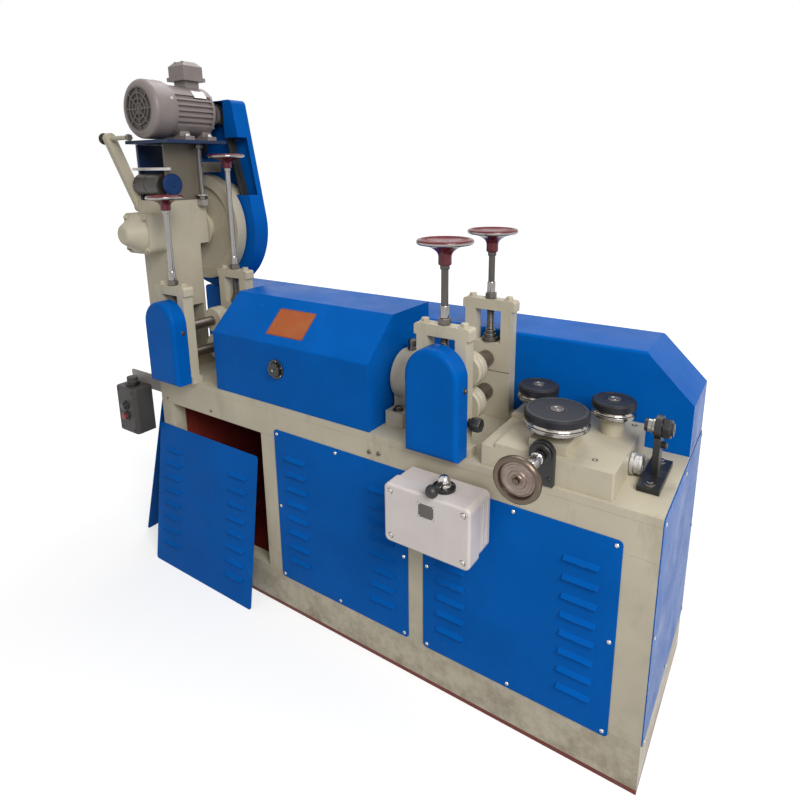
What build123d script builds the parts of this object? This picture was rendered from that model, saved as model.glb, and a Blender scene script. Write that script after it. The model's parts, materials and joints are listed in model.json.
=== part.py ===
from build123d import *
from math import asin, atan2, cos, degrees, hypot, sin, sqrt
import os

# Wire straightening and cutting machine: a sheet-clad cabinet with a bed plate, roll feeds at both
# ends of a hooded straightening drum, an entry roller block and a crank press for cutting.
# Millimetres. +X runs along the machine to the wire's inlet, -Y is the front, +Z is up.
# Depths are measured back from the cabinet's front face. Lengths are measured from the cabinet's
# left end, or from its right end where the note says so.

# overall
CABINET_L = 1812.0      # length of the cabinet
CABINET_D = 575.0       # depth of the cabinet
BED_TOP = 769.0         # height of the bed's upper face above the floor
BED_T = 22.0            # thickness of the bed plate
WIRE_Y = 180.0          # depth of the wire line
WIRE_H = 136.0          # wire line above the bed
FIT = 0.05              # radial play of a shaft in its bore
SEAT = 0.3              # play between faces that move past each other
OVERRUN = 5.0           # how far cutting solids pass the face they cut

# cabinet frame
POST_LEFT_W = 70.0
POST_RIGHT_W = 92.0
POST_INNER_W = 80.0
POST_D = 50.0
SPLIT_A = 585.0         # middle of the first inner post
SPLIT_B = 646.0         # middle of the second inner post, from the right end
RAIL_LOW_H = 144.0
RAIL_TOP_H = 92.0
# cover panels
SHEET_T = 2.5
PANEL_LAP = 14.0        # lap of a panel on the posts
PANEL_TOP_LAP = 31.0    # lap on the upper rail
PANEL_R = 12.0          # corner radius
LOUVRE_L = 88.0
LOUVRE_H = 12.0
LOUVRE_OUT = 9.0
LOUVRE_PITCH = 54.0
LOUVRE_N = 8
LOUVRE_INSET = 92.0     # middle of a louvre column from the panel's edge
# loose panels
LOOSE_L = 545.0
LOOSE_H = 566.0
LOOSE_X = -22.0         # left edge of the loose front panel
LOOSE_OUT = 82.0        # foot of the loose front panel ahead of the cabinet
LOOSE_END_OUT = 230.0   # foot of the loose end panel beyond the cabinet
LOOSE_END_D = 480.0
LOOSE_END_Y = 12.0      # depth of the loose end panel's front edge
LOOSE_END_DROP = 10.0   # its upper edge below the press shelf

# hood over the straightening drum
HOOD_LEFT = 332.0
HOOD_RIGHT = 809.0      # from the right end
HOOD_Y0 = 5.0
HOOD_Y1 = 340.0
HOOD_FOLD_H = 208.0     # fold of the front above the bed
HOOD_TOP_Y = 136.0
HOOD_H = 329.0
HOOD_T = 3.0
HOOD_FOLD_R = 9.0
HOOD_NOTCH_R = 34.0     # round notch for the drum shaft
SIGHT_X = 300.0         # knob from the hood's left end
SIGHT_H = 127.0
SIGHT_R = 26.0
SIGHT_OUT = 16.0
SIGHT_EDGE_R = 5.0
# cover along the rear
COVER_Y0 = 342.0
COVER_Y1 = 571.0
COVER_CUT = 128.0       # corner cut off at the right end
COVER_OVER = 125.0      # overhang at the left end, behind the press
COVER_R = 10.0
COVER_T = 3.0
# bearings of the straightening drum
BEARING_R = 80.0
BEARING_W = 62.0
BEARING_EDGE_R = 6.0
BEARING_GAP = 8.0       # between hood end and bearing
BEARING_FOOT_W = 205.0
BEARING_FOOT_H = 46.0
BEARING_NECK_W = 110.0
DRUM_SHAFT_R = 26.0
DRUM_BORE_R = 6.0       # the wire passes through the hollow shaft
CUP_R = 9.0
CUP_H = 22.0

# roll feed stations
FEED_RIGHT = 577.0      # middle of the right station, from the right end
FEED_LEFT = 140.0
FEED_RIGHT_Y0 = 20.0    # front face of the front stand
FEED_RIGHT_Y1 = 300.0   # front face of the rear stand
FEED_LEFT_Y0 = -18.0
FEED_LEFT_Y1 = 264.0
STAND_W = 152.0
STAND_T = 40.0
STAND_FRONT_H = 321.0
STAND_REAR_H = 339.0
CAP_W = 168.0
CAP_H = 32.0
CAP_R = 9.0
WINDOW_W = 84.0
WINDOW_SILL_H = 239.0   # sill of the window above the bed
PAD_H = 36.0            # room for the bearing pad below the screw
FOOT_EXTRA = 14.0
FOOT_H = 24.0
JOINT_H = 12.0          # split line of the rear stand above the wire
JOINT_T = 4.0
ROLL_R = 50.0
ROLL_W = 44.0
ROLL_GROOVE = 4.0
ROLL_EDGE_R = 5.0
NIP = 5.0
ROLL_SHAFT_R = 19.0
COLLAR_R = 26.0         # thicker shaft behind the roll
COLLAR_GAP = 5.0        # between the collar and the rear stand
SHAFT_OUT = 18.0        # shaft end ahead of the front stand
GUARD_W = 163.0
GUARD_D = 58.0
GUARD_GAP = 4.0         # between bed and guard
GUARD_H = 300.0
GUARD_T = 2.5
GUARD_EDGE_R = 14.0
SCREW_R = 11.0
WHEEL_RIGHT_R = 84.0
WHEEL_LEFT_R = 70.0
WHEEL_RIM_R = 7.0
WHEEL_HUB_R = 20.0
WHEEL_HUB_H = 46.0
WHEEL_DISH = 16.0
WHEEL_WEB_T = 7.0
NUT_R = 20.0
NUT_H = 26.0
WHEEL_RIGHT_H = 572.0   # wheel rims above the bed
WHEEL_LEFT_FRONT_H = 663.0
WHEEL_LEFT_REAR_H = 804.0

# crank press
TOWER_X0 = -165.0
TOWER_X1 = 10.0
TOWER_Y0 = 93.0
TOWER_Y1 = 238.0
TOWER_H = 642.0         # column above the bed
TOWER_R = 10.0          # rounding of the casting
HEAD_Y1 = 280.0
HEAD_H = 171.0
HEAD_RING_R = 88.0      # bearing ring behind the head
HEAD_RING_T = 10.0
TUNNEL_W = 84.0         # the wire and the ram pass through the column
TUNNEL_H = 231.0
TOE_X1 = 58.0           # front toe of the column on the bed
TOE_H = 40.0
SHELF_H = 58.0          # shelf that carries the column beyond the bed
SHELF_CUT = 40.0
CRANK_X = -72.0
CRANK_H = 525.0         # crankshaft above the bed
CRANK_R = 28.0
CRANK_BOSS_W = 150.0    # square block that houses the front bearing
CRANK_BOSS_L = 75.0
CRANK_BOSS_R = 26.0
CRANK_CAP_R = 72.0
CRANK_CAP_L = 60.0
CRANK_TIP_R = 32.0
CRANK_TIP_ROUND = 17.0
FLY_R = 213.0
FLY_W = 44.0
FLY_RIM = 44.0
FLY_WEB_T = 14.0
FLY_HUB_R = 52.0
FLY_GAP = 32.0          # between press head and flywheel
FLY_CLEAR = 6.0         # between flywheel rim and the tongues above it
BELT_WHEEL_R = 190.0    # belt pulley behind the flywheel
BELT_N = 2
BELT_W = 16.0
BELT_T = 8.0
BELT_PITCH = 20.0
CASE_GAP = 8.0
CASE_D = 70.0
CASE_T = 2.5
CASE_ROOM = 56.0        # between belt and case
CASE_TOP_W = 256.0
CASE_TOP_UP = 50.0      # flat top above the motor's axis
CASE_TOP_R = 22.0
CASE_HOLE_ROOM = 20.0   # round the crankshaft
CASE_SLOT_W = 150.0     # slot for the motor's shaft
CASE_SLOT_EDGE = 12.0   # between the opening and the tongues
CASE_NOTCH_Z0 = 130.0   # notch in the right front edge, above the crankshaft
CASE_NOTCH_Z1 = 351.0
CASE_NOTCH_D = 45.0
CASE_NOTCH_W = 14.0     # how far it cuts into the front plate at its top

# motor on top of the press
CHEEK_T = 12.0
CHEEK_Y0 = 110.0
CHEEK_Y1 = 262.0
CHEEK_H = 207.0
TONGUE_H = 40.0         # tongues of the cheeks that hold the belt case
PLATE_T = 12.0
PLATE_X0 = -150.0
PLATE_X1 = 100.0
PLATE_Y0 = 60.0
PLATE_Y1 = 322.0
STUD_R = 8.0
STUD_X = 32.0
STUD_Y = 246.0
LUG_H = 24.0
STRUT_W = 40.0
STRUT_T = 22.0
STRUT_IN = 20.0         # its lower pin behind the column's front
STRUT_OUT = 96.0        # how far the strut leans to the front
STRUT_LAP = 26.0        # its lower pin below the column's top
STRUT_UP = 8.0          # its head's middle above the motor plate
ROD_R = 8.0
ROD_OUT = 24.0          # rod through the strut's head, to its left
ROD_IN = 115.0          # and to its right
MOTOR_X = -30.0
MOTOR_AXIS_H = 107.0    # axis above the motor plate
MOTOR_Y0 = 50.0
MOTOR_R = 103.0
COWL_L = 80.0
COWL_EDGE_R = 20.0
COWL_LIP = 4.0          # step of the cowl's rear lip
COWL_LIP_L = 12.0
GRILLE_R = 72.0
GRILLE_DEPTH = 5.0
GRILLE_BAR = 5.0
GRILLE_RINGS = 3
GRILLE_SPOKES = 8
MOTOR_L = 264.0
MOTOR_BODY_R = 92.0
FIN_H = 11.0
FIN_PITCH = 19.0
FIN_T = 7.0
FIN_GROOVES = 6
FIN_END = 9.0           # plain ends of the finned body
BELL_L = 34.0
BELL_R = 58.0
MOTOR_SHAFT_R = 14.0
MOTOR_FOOT_W = 172.0
MOTOR_FOOT_L = 40.0
MOTOR_FOOT_T = 16.0
MOTOR_LEG_W = 112.0
MOTOR_LEG_L = 140.0
PULLEY_R = 36.0
PULLEY_W = 44.0
TERM_W = 90.0           # terminal box
TERM_L = 84.0
TERM_NECK = 12.0        # neck inset from the box
TERM_NECK_H = 8.0       # underside of the box above the cowl's top line
TERM_FLANGE = 6.0
TERM_FLANGE_T = 14.0
TERM_LID_H = 56.0
TERM_BEVEL = 17.0
# cutter
RAM_W = 60.0
RAM_D = 56.0
RAM_GAP = 20.0          # ram above the wire line
DIE_W = 70.0
DIE_ABOVE = 12.0        # top of the die above the wire line

# entry roller block
BLOCK_L = 339.0
BLOCK_Y0 = 12.0
BLOCK_Y1 = 338.0
BLOCK_H = 69.0
BLOCK_R = 5.0
POCKET_W = 40.0         # shallow step along the block's left edge
POCKET_H = 12.0
ROLLER_ABOVE = 25.0     # roller above and below the wire line
ROLLER_BELOW = 15.0
ROLLER_GROOVE = 6.0
ROLLER_EDGE_R = 4.0
PIN_R = 15.0
BOSS_R = 30.0
BIG_R = 82.0
SMALL_R = 56.0
BIG_IN = 282.0          # front roller from the right end
SMALL_SPREAD = 103.0    # rear rollers to both sides of it
ROLLER_CLEAR = 5.0      # daylight between a roller and the wire line
SLIDE_W = 96.0
SLIDE_L = 120.0
SLIDE_H = 26.0
SLIDE_TRAVEL = 15.0     # to each side
LEAD_R = 9.0
LEAD_IN = 30.0          # lead screw inside the slide at rest
BRACKET_W = 63.0
BRACKET_PLATE_T = 16.0
KNOB_R = 60.0
KNOB_Y = -150.0
KNOB_HUB_R = 18.0
KNOB_HUB_L = 60.0
KNOB_WEB_T = 8.0
KNOB_RIM_R = 8.0
# wire guide at the inlet
GUIDE_IN = 54.0         # from the right end
GUIDE_PLATE_W = 52.0
GUIDE_PLATE_D = 172.0
GUIDE_PLATE_T = 14.0
GUIDE_BAR_W = 40.0
GUIDE_BAR_T = 16.0
GUIDE_HEAD_R = 30.0
BUSH_R = 16.0
BUSH_BORE_R = 5.0
BUSH_L = 66.0
BUSH_COLLAR_R = 22.0
BUSH_COLLAR_L = 20.0

# control box on the front
BOX_RIGHT = 406.0       # right face of the box from the right end
BOX_L = 256.0
BOX_DROP = 49.0         # top of the box below the bed
BOX_H = 171.0
BOX_D = 118.0
BOX_R = 16.0
BOX_LID = 52.0
BOX_LIP = 4.0
BOX_EDGE_R = 7.0
BOX_SCREW_R = 9.0       # sunk lid screws
BOX_SCREW_SINK = 4.0
BOX_SCREW_INSET = 20.0
BOX_PAD = 12.0          # feet that hold the box clear of the louvres
BOX_PAD_W = 30.0
BOX_PAD_INSET = 8.0
STICK_IN = 104.0        # lever from the right face of the box
STICK_Y = -74.0
STICK_BASE_R = 30.0
STICK_BASE_H = 9.0
STICK_DOME_R = 14.0
STICK_ARM_R = 5.0
STICK_ARM_L = 62.0
STICK_BALL_R = 17.0
# starter box on the left end
START_X0 = -185.0
START_L = 123.0
START_DROP = 64.0       # top of the box below the bed
START_H = 185.0
START_D = 78.0
START_R = 16.0
START_EDGE_R = 6.0
START_ARM_T = 8.0
START_ARM_H = 60.0
START_ARM_BACK = 60.0
START_ARM_LAP = 32.0
BUTTON_N = 2
BUTTON_R = 14.0
BUTTON_OUT = 9.0
BUTTON_LOW = 70.0       # lower button above the box's underside
BUTTON_PITCH = 42.0
GLAND_R = 20.0
GLAND_H = 34.0

# the origin lies on the floor at the middle of the whole machine
CASE_R_LOW = BELT_WHEEL_R + BELT_T + CASE_ROOM
LEFT = -(CABINET_L + SHEET_T + CRANK_X - CASE_R_LOW) / 2
FRONT = -(CABINET_D + SHEET_T + LOUVRE_OUT + KNOB_Y - KNOB_RIM_R) / 2
RIGHT = LEFT + CABINET_L
BACK = FRONT + CABINET_D
BED_LOW = BED_TOP - BED_T
# places that several pieces share
WIRE = FRONT + WIRE_Y
WIRE_Z = BED_TOP + WIRE_H
HOOD_X0 = LEFT + HOOD_LEFT
HOOD_X1 = RIGHT - HOOD_RIGHT
ROLL_UP_Z = WIRE_Z + NIP / 2 + ROLL_R
ROLL_LOW_Z = WIRE_Z - NIP / 2 - ROLL_R
FEED_RIGHT_X = RIGHT - FEED_RIGHT
FEED_LEFT_X = LEFT + FEED_LEFT
CRANK = LEFT + CRANK_X
CRANK_Z = BED_TOP + CRANK_H
TOWER_TOP = BED_TOP + TOWER_H
TUNNEL_TOP = BED_TOP + TUNNEL_H
PLATE_TOP = TOWER_TOP + CHEEK_H + PLATE_T
MOTOR = LEFT + MOTOR_X
MOTOR_Z = PLATE_TOP + MOTOR_AXIS_H
FLY_Y0 = FRONT + HEAD_Y1 + FLY_GAP
FLY_Y1 = FLY_Y0 + FLY_W
CASE_Y0 = FLY_Y1 + CASE_GAP
CASE_Y1 = CASE_Y0 + CASE_D
BELT_MID = (CASE_Y0 + CASE_Y1) / 2
BLOCK_TOP = BED_TOP + BLOCK_H
ROLLER_TOP = WIRE_Z + ROLLER_ABOVE
ROLLER_LOW = WIRE_Z - ROLLER_BELOW
BIG_X = RIGHT - BIG_IN
BIG_Y = WIRE - ROLLER_CLEAR / 2 - BIG_R
SMALL_Y = WIRE + ROLLER_CLEAR / 2 + SMALL_R
SCREW_Z = BLOCK_TOP + SEAT + SLIDE_H / 2
GUIDE_X = RIGHT - GUIDE_IN
BOX_X1 = RIGHT - BOX_RIGHT
BOX_X0 = BOX_X1 - BOX_L
BOX_Z1 = BED_TOP - BOX_DROP
BOX_Z0 = BOX_Z1 - BOX_H
STICK_X = BOX_X1 - STICK_IN

os.makedirs("parts", exist_ok=True)


def slab(x0, x1, y0, y1, z0, z1, mode=Mode.ADD):
    # a straight block between two corners
    with Locations(((x0 + x1) / 2, (y0 + y1) / 2, (z0 + z1) / 2)):
        Box(x1 - x0, y1 - y0, z1 - z0, mode=mode)


def bar_y(x, z, y0, y1, r, mode=Mode.ADD):
    # a round bar along Y
    with Locations(Location((x, (y0 + y1) / 2, z), (90, 0, 0))):
        Cylinder(r, y1 - y0, mode=mode)


def bar_x(y, z, x0, x1, r, mode=Mode.ADD):
    # a round bar along X
    with Locations(Location(((x0 + x1) / 2, y, z), (0, 90, 0))):
        Cylinder(r, x1 - x0, mode=mode)


def bar_z(x, y, z0, z1, r, mode=Mode.ADD):
    # a round bar along Z
    with Locations((x, y, (z0 + z1) / 2)):
        Cylinder(r, z1 - z0, mode=mode)


def save(part, name):
    part.label = name
    export_step(part, "parts/" + name + ".step")


# cabinet posts, front and rear
post_spans = [
    (LEFT, LEFT + POST_LEFT_W),
    (LEFT + SPLIT_A - POST_INNER_W / 2, LEFT + SPLIT_A + POST_INNER_W / 2),
    (RIGHT - SPLIT_B - POST_INNER_W / 2, RIGHT - SPLIT_B + POST_INNER_W / 2),
    (RIGHT - POST_RIGHT_W, RIGHT),
]
with BuildPart() as posts:
    for x0, x1 in post_spans:
        for y0 in (FRONT, BACK - POST_D):
            slab(x0, x1, y0, y0 + POST_D, RAIL_LOW_H, BED_LOW - RAIL_TOP_H)
save(posts.part, "cabinet_posts")

with BuildPart() as long_rails:
    for y0 in (FRONT, BACK - POST_D):
        slab(LEFT, RIGHT, y0, y0 + POST_D, 0, RAIL_LOW_H)
        slab(LEFT, RIGHT, y0, y0 + POST_D, BED_LOW - RAIL_TOP_H, BED_LOW)
save(long_rails.part, "cabinet_long_rails")

with BuildPart() as end_rails:
    for x0, w in ((LEFT, POST_LEFT_W), (RIGHT - POST_RIGHT_W, POST_RIGHT_W)):
        slab(x0, x0 + w, FRONT + POST_D, BACK - POST_D, 0, RAIL_LOW_H)
        slab(x0, x0 + w, FRONT + POST_D, BACK - POST_D, BED_LOW - RAIL_TOP_H, BED_LOW)
save(end_rails.part, "cabinet_end_rails")

with BuildPart() as bed:
    slab(LEFT, RIGHT, FRONT, BACK, BED_LOW, BED_TOP)
save(bed.part, "bed_plate")


def louvred_sheet(width, height):
    # a flat cover with two columns of pressed louvres, lying in XZ with its outer face to -Y
    with BuildPart() as sheet:
        with BuildSketch(Plane.XZ):
            RectangleRounded(width, height, PANEL_R)
        extrude(amount=SHEET_T)
        for side in (-1, 1):
            x = side * (width / 2 - LOUVRE_INSET)
            for i in range(LOUVRE_N):
                z = (i - (LOUVRE_N - 1) / 2) * LOUVRE_PITCH
                with BuildSketch(Plane.YZ.offset(x - LOUVRE_L / 2)) as lip:
                    with BuildLine():
                        Polyline(
                            (-SHEET_T, z + LOUVRE_H / 2),
                            (-SHEET_T, z - LOUVRE_H / 2),
                            (-SHEET_T - LOUVRE_OUT, z - LOUVRE_H / 2),
                            close=True,
                        )
                    make_face()
                extrude(lip.sketch, amount=LOUVRE_L)
    return sheet.part


panel_top = BED_LOW - RAIL_TOP_H + PANEL_TOP_LAP
panel_low = RAIL_LOW_H - PANEL_LAP
bays = [
    (post_spans[1][1] - PANEL_LAP, post_spans[2][0] + PANEL_LAP),
    (post_spans[2][1] - PANEL_LAP, post_spans[3][0] + PANEL_LAP),
]
for (x0, x1), name in zip(bays, ("panel_front_middle", "panel_front_right")):
    with BuildPart() as panel:
        with Locations(((x0 + x1) / 2, FRONT, (panel_top + panel_low) / 2)):
            add(louvred_sheet(x1 - x0, panel_top - panel_low))
    save(panel.part, name)

with BuildPart() as end_panel:
    with BuildSketch(Plane.YZ.offset(RIGHT)):
        with Locations(((FRONT + BACK) / 2, (panel_low + BED_TOP) / 2)):
            RectangleRounded(CABINET_D - PANEL_LAP, BED_TOP - panel_low - PANEL_LAP, PANEL_R)
    extrude(amount=SHEET_T)
save(end_panel.part, "panel_right_end")

rear_spans = [(post_spans[i][1] - PANEL_LAP, post_spans[i + 1][0] + PANEL_LAP) for i in range(3)]
with BuildPart() as rear_panels:
    for x0, x1 in rear_spans:
        with Locations(Location(((x0 + x1) / 2, BACK, (panel_top + panel_low) / 2), (0, 0, 180))):
            add(louvred_sheet(x1 - x0, panel_top - panel_low))
save(rear_panels.part, "panels_rear")

# covers that are taken off: one leans on the front, one on the left end
lean = asin(LOOSE_OUT / LOOSE_H)
with BuildPart() as loose_front:
    with Locations(Location(
        (
            LEFT + LOOSE_X + LOOSE_L / 2,
            FRONT - SEAT - LOOSE_OUT / 2,
            LOOSE_H * cos(lean) / 2,
        ),
        (-degrees(lean), 0, 0),
    )):
        add(louvred_sheet(LOOSE_L, LOOSE_H))
save(loose_front.part, "panel_loose_front")

loose_end_rise = BED_TOP - SHELF_H - LOOSE_END_DROP
loose_end_h = hypot(loose_end_rise, LOOSE_END_OUT)
end_lean = atan2(LOOSE_END_OUT, loose_end_rise)
end_plane = Plane(
    origin=(LEFT - SEAT - LOOSE_END_OUT, FRONT + LOOSE_END_Y + LOOSE_END_D / 2, 0),
    x_dir=(0, -1, 0),
    z_dir=(-cos(end_lean), 0, sin(end_lean)),
)
with BuildPart() as loose_end:
    with BuildSketch(end_plane):
        with Locations((0, loose_end_h / 2)):
            RectangleRounded(LOOSE_END_D, loose_end_h, PANEL_R)
    extrude(amount=SHEET_T)
save(loose_end.part, "panel_loose_end")

# hood over the straightening drum, a folded sheet that stands on the bed
with BuildPart() as hood:
    with BuildSketch(Plane.YZ.offset(HOOD_X0)):
        with BuildLine():
            Polyline(
                (FRONT + HOOD_Y0, BED_TOP),
                (FRONT + HOOD_Y0, BED_TOP + HOOD_FOLD_H),
                (FRONT + HOOD_TOP_Y, BED_TOP + HOOD_H),
                (FRONT + HOOD_Y1, BED_TOP + HOOD_H),
                (FRONT + HOOD_Y1, BED_TOP),
                close=True,
            )
        make_face()
    extrude(amount=HOOD_X1 - HOOD_X0)
    fillet(hood.edges().filter_by(Axis.X).sort_by(Axis.Y)[:3].sort_by(Axis.Z)[1:], HOOD_FOLD_R)
    open_faces = [hood.faces().sort_by(Axis.Z)[0], hood.faces().sort_by(Axis.Y)[-1]]
    offset(amount=-HOOD_T, openings=open_faces)
    bar_x(WIRE, WIRE_Z, HOOD_X0 - OVERRUN, HOOD_X1 + OVERRUN, HOOD_NOTCH_R, Mode.SUBTRACT)
save(hood.part, "hood")

sight_y = FRONT + HOOD_Y0
with BuildPart() as sight:
    bar_y(HOOD_X0 + SIGHT_X, BED_TOP + SIGHT_H, sight_y - SIGHT_OUT, sight_y, SIGHT_R)
    fillet(sight.edges().group_by(Axis.Y)[0], SIGHT_EDGE_R)
save(sight.part, "hood_knob")

# cover along the rear of the bed, its top level with the foot of the belt case
cover_top = CRANK_Z - CASE_R_LOW
with BuildPart() as cover:
    with BuildSketch(Plane.XZ.offset(-(FRONT + COVER_Y0))):
        with BuildLine():
            Polyline(
                (LEFT - COVER_OVER, BED_TOP),
                (LEFT - COVER_OVER, cover_top),
                (RIGHT - COVER_CUT, cover_top),
                (RIGHT, cover_top - COVER_CUT),
                (RIGHT, BED_TOP),
                close=True,
            )
        make_face()
    extrude(amount=-(COVER_Y1 - COVER_Y0))
    fillet(cover.edges().filter_by(Axis.X).group_by(Axis.Z)[-1], COVER_R)
    offset(amount=-COVER_T, openings=cover.faces().sort_by(Axis.Z)[0])
save(cover.part, "rear_cover")


def drum_bearing(x0):
    # pedestal bearing with the end of the drum's hollow shaft
    x1 = x0 + BEARING_W
    with BuildPart() as bearing:
        bar_x(WIRE, WIRE_Z, x0, x1, BEARING_R)
        fillet(bearing.edges().filter_by(GeomType.CIRCLE), BEARING_EDGE_R)
        slab(x0, x1, WIRE - BEARING_FOOT_W / 2, WIRE + BEARING_FOOT_W / 2, BED_TOP, BED_TOP + BEARING_FOOT_H)
        slab(x0, x1, WIRE - BEARING_NECK_W / 2, WIRE + BEARING_NECK_W / 2, BED_TOP, WIRE_Z - BEARING_R / 2)
        bar_x(WIRE, WIRE_Z, x0 - BEARING_GAP, x1 + BEARING_GAP, DRUM_SHAFT_R)
        bar_z((x0 + x1) / 2, WIRE, WIRE_Z, WIRE_Z + BEARING_R + CUP_H, CUP_R)
        bar_x(WIRE, WIRE_Z, x0 - BEARING_GAP - OVERRUN, x1 + BEARING_GAP + OVERRUN,
              DRUM_BORE_R, Mode.SUBTRACT)
    return bearing.part


save(drum_bearing(HOOD_X1 + BEARING_GAP), "drum_bearing_right")
save(drum_bearing(HOOD_X0 - BEARING_GAP - BEARING_W), "drum_bearing_left")


def feed_stand(x, y0, height, split):
    # portal stand with a bolted cap, two shaft bores and a window below the pressure screw
    y1 = y0 + STAND_T
    top = BED_TOP + height
    foot = STAND_W / 2 + FOOT_EXTRA
    with BuildPart() as stand:
        slab(x - STAND_W / 2, x + STAND_W / 2, y0, y1, BED_TOP, top)
        slab(x - foot, x + foot, y0, y1, BED_TOP, BED_TOP + FOOT_H)
        slab(x - CAP_W / 2, x + CAP_W / 2, y0, y1, top, top + CAP_H)
        fillet(stand.edges().filter_by(Axis.Y).group_by(Axis.Z)[-1], CAP_R)
        slab(x - WINDOW_W / 2, x + WINDOW_W / 2, y0 - OVERRUN, y1 + OVERRUN,
             BED_TOP + WINDOW_SILL_H, top, Mode.SUBTRACT)
        for z in (ROLL_UP_Z, ROLL_LOW_Z):
            bar_y(x, z, y0 - OVERRUN, y1 + OVERRUN, ROLL_SHAFT_R + FIT, Mode.SUBTRACT)
        bar_z(x, (y0 + y1) / 2, top - OVERRUN, top + CAP_H + OVERRUN, SCREW_R + FIT, Mode.SUBTRACT)
        if split:
            joint_z = WIRE_Z + JOINT_H
            slab(x - STAND_W / 2 - OVERRUN, x + STAND_W / 2 + OVERRUN, y0 - OVERRUN, y0 + JOINT_T,
                 joint_z, joint_z + JOINT_T, Mode.SUBTRACT)
    return stand.part


def feed_roll(x, z, y0, y1):
    # shaft with a grooved roll on the wire line and a thicker length behind it
    with BuildPart() as roll:
        with BuildSketch(Plane.YZ.offset(x)) as section:
            with BuildLine():
                Polyline(
                    (WIRE - ROLL_W / 2, z),
                    (WIRE - ROLL_W / 2, z + ROLL_R - ROLL_EDGE_R),
                    (WIRE - ROLL_W / 2 + ROLL_EDGE_R, z + ROLL_R),
                    (WIRE - ROLL_GROOVE, z + ROLL_R),
                    (WIRE, z + ROLL_R - ROLL_GROOVE),
                    (WIRE + ROLL_GROOVE, z + ROLL_R),
                    (WIRE + ROLL_W / 2, z + ROLL_R),
                    (WIRE + ROLL_W / 2, z),
                    close=True,
                )
            make_face()
        revolve(section.sketch, axis=Axis((x, 0, z), (0, 1, 0)))
        bar_y(x, z, WIRE, y1 - COLLAR_GAP, COLLAR_R)
        bar_y(x, z, y0 - SHAFT_OUT, y1 + STAND_T, ROLL_SHAFT_R)
    return roll.part


def feed_guard(x, y0):
    # arched sheet guard over the feed gears, open to the stand
    arch = GUARD_W / 2
    low = BED_TOP + GUARD_GAP
    high = low + GUARD_H
    with BuildPart() as guard:
        with BuildSketch(Plane.XZ.offset(-y0)) as face:
            with BuildLine():
                Polyline(
                    (x - arch, high - arch),
                    (x - arch, low),
                    (x + arch, low),
                    (x + arch, high - arch),
                )
                ThreePointArc((x + arch, high - arch), (x, high), (x - arch, high - arch))
            make_face()
        extrude(face.sketch, amount=GUARD_D)
        fillet(guard.faces().sort_by(Axis.Y)[0].edges(), GUARD_EDGE_R)
        offset(amount=-GUARD_T, openings=guard.faces().sort_by(Axis.Y)[-1])
    return guard.part


def pressure_screw(x, y, stand_h, wheel_h, wheel_r):
    # spindle with a lock nut above the cap and a dished handwheel on top
    z_cap = BED_TOP + stand_h + CAP_H
    z_rim = BED_TOP + wheel_h
    z_hub = z_rim - WHEEL_DISH - WHEEL_WEB_T
    with BuildPart() as screw:
        bar_z(x, y, BED_TOP + WINDOW_SILL_H + PAD_H + SEAT, z_rim, SCREW_R)
        bar_z(x, y, z_cap + SEAT, z_cap + SEAT + NUT_H, NUT_R)
        with BuildSketch(Plane.XZ.offset(-y)) as section:
            with BuildLine():
                Polyline(
                    (x, z_hub - WHEEL_HUB_H),
                    (x + WHEEL_HUB_R, z_hub - WHEEL_HUB_H),
                    (x + WHEEL_HUB_R, z_hub),
                    (x + wheel_r - WHEEL_RIM_R, z_rim - WHEEL_WEB_T),
                    (x + wheel_r - WHEEL_RIM_R, z_rim),
                    (x + WHEEL_HUB_R, z_hub + WHEEL_WEB_T),
                    (x, z_hub + WHEEL_WEB_T),
                    close=True,
                )
            make_face()
        revolve(section.sketch, axis=Axis((x, y, 0), (0, 0, 1)))
        with Locations((x, y, z_rim)):
            Torus(wheel_r - WHEEL_RIM_R, WHEEL_RIM_R)
    return screw.part


for side, fx, fy0, fy1, front_h, rear_h, wheel_r in (
    ("right", FEED_RIGHT_X, FEED_RIGHT_Y0, FEED_RIGHT_Y1, WHEEL_RIGHT_H, WHEEL_RIGHT_H, WHEEL_RIGHT_R),
    ("left", FEED_LEFT_X, FEED_LEFT_Y0, FEED_LEFT_Y1, WHEEL_LEFT_FRONT_H, WHEEL_LEFT_REAR_H, WHEEL_LEFT_R),
):
    y0 = FRONT + fy0
    y1 = FRONT + fy1
    save(feed_stand(fx, y0, STAND_FRONT_H, False), "feed_" + side + "_stand_front")
    save(feed_stand(fx, y1, STAND_REAR_H, True), "feed_" + side + "_stand_rear")
    save(feed_guard(fx, y0), "feed_" + side + "_guard")
    save(feed_roll(fx, ROLL_UP_Z, y0, y1), "feed_" + side + "_roll_upper")
    save(feed_roll(fx, ROLL_LOW_Z, y0, y1), "feed_" + side + "_roll_lower")
    screw_front = pressure_screw(fx, y0 + STAND_T / 2, STAND_FRONT_H, front_h, wheel_r)
    screw_rear = pressure_screw(fx, y1 + STAND_T / 2, STAND_REAR_H, rear_h, wheel_r)
    save(screw_front, "feed_" + side + "_screw_front")
    save(screw_rear, "feed_" + side + "_screw_rear")

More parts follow.
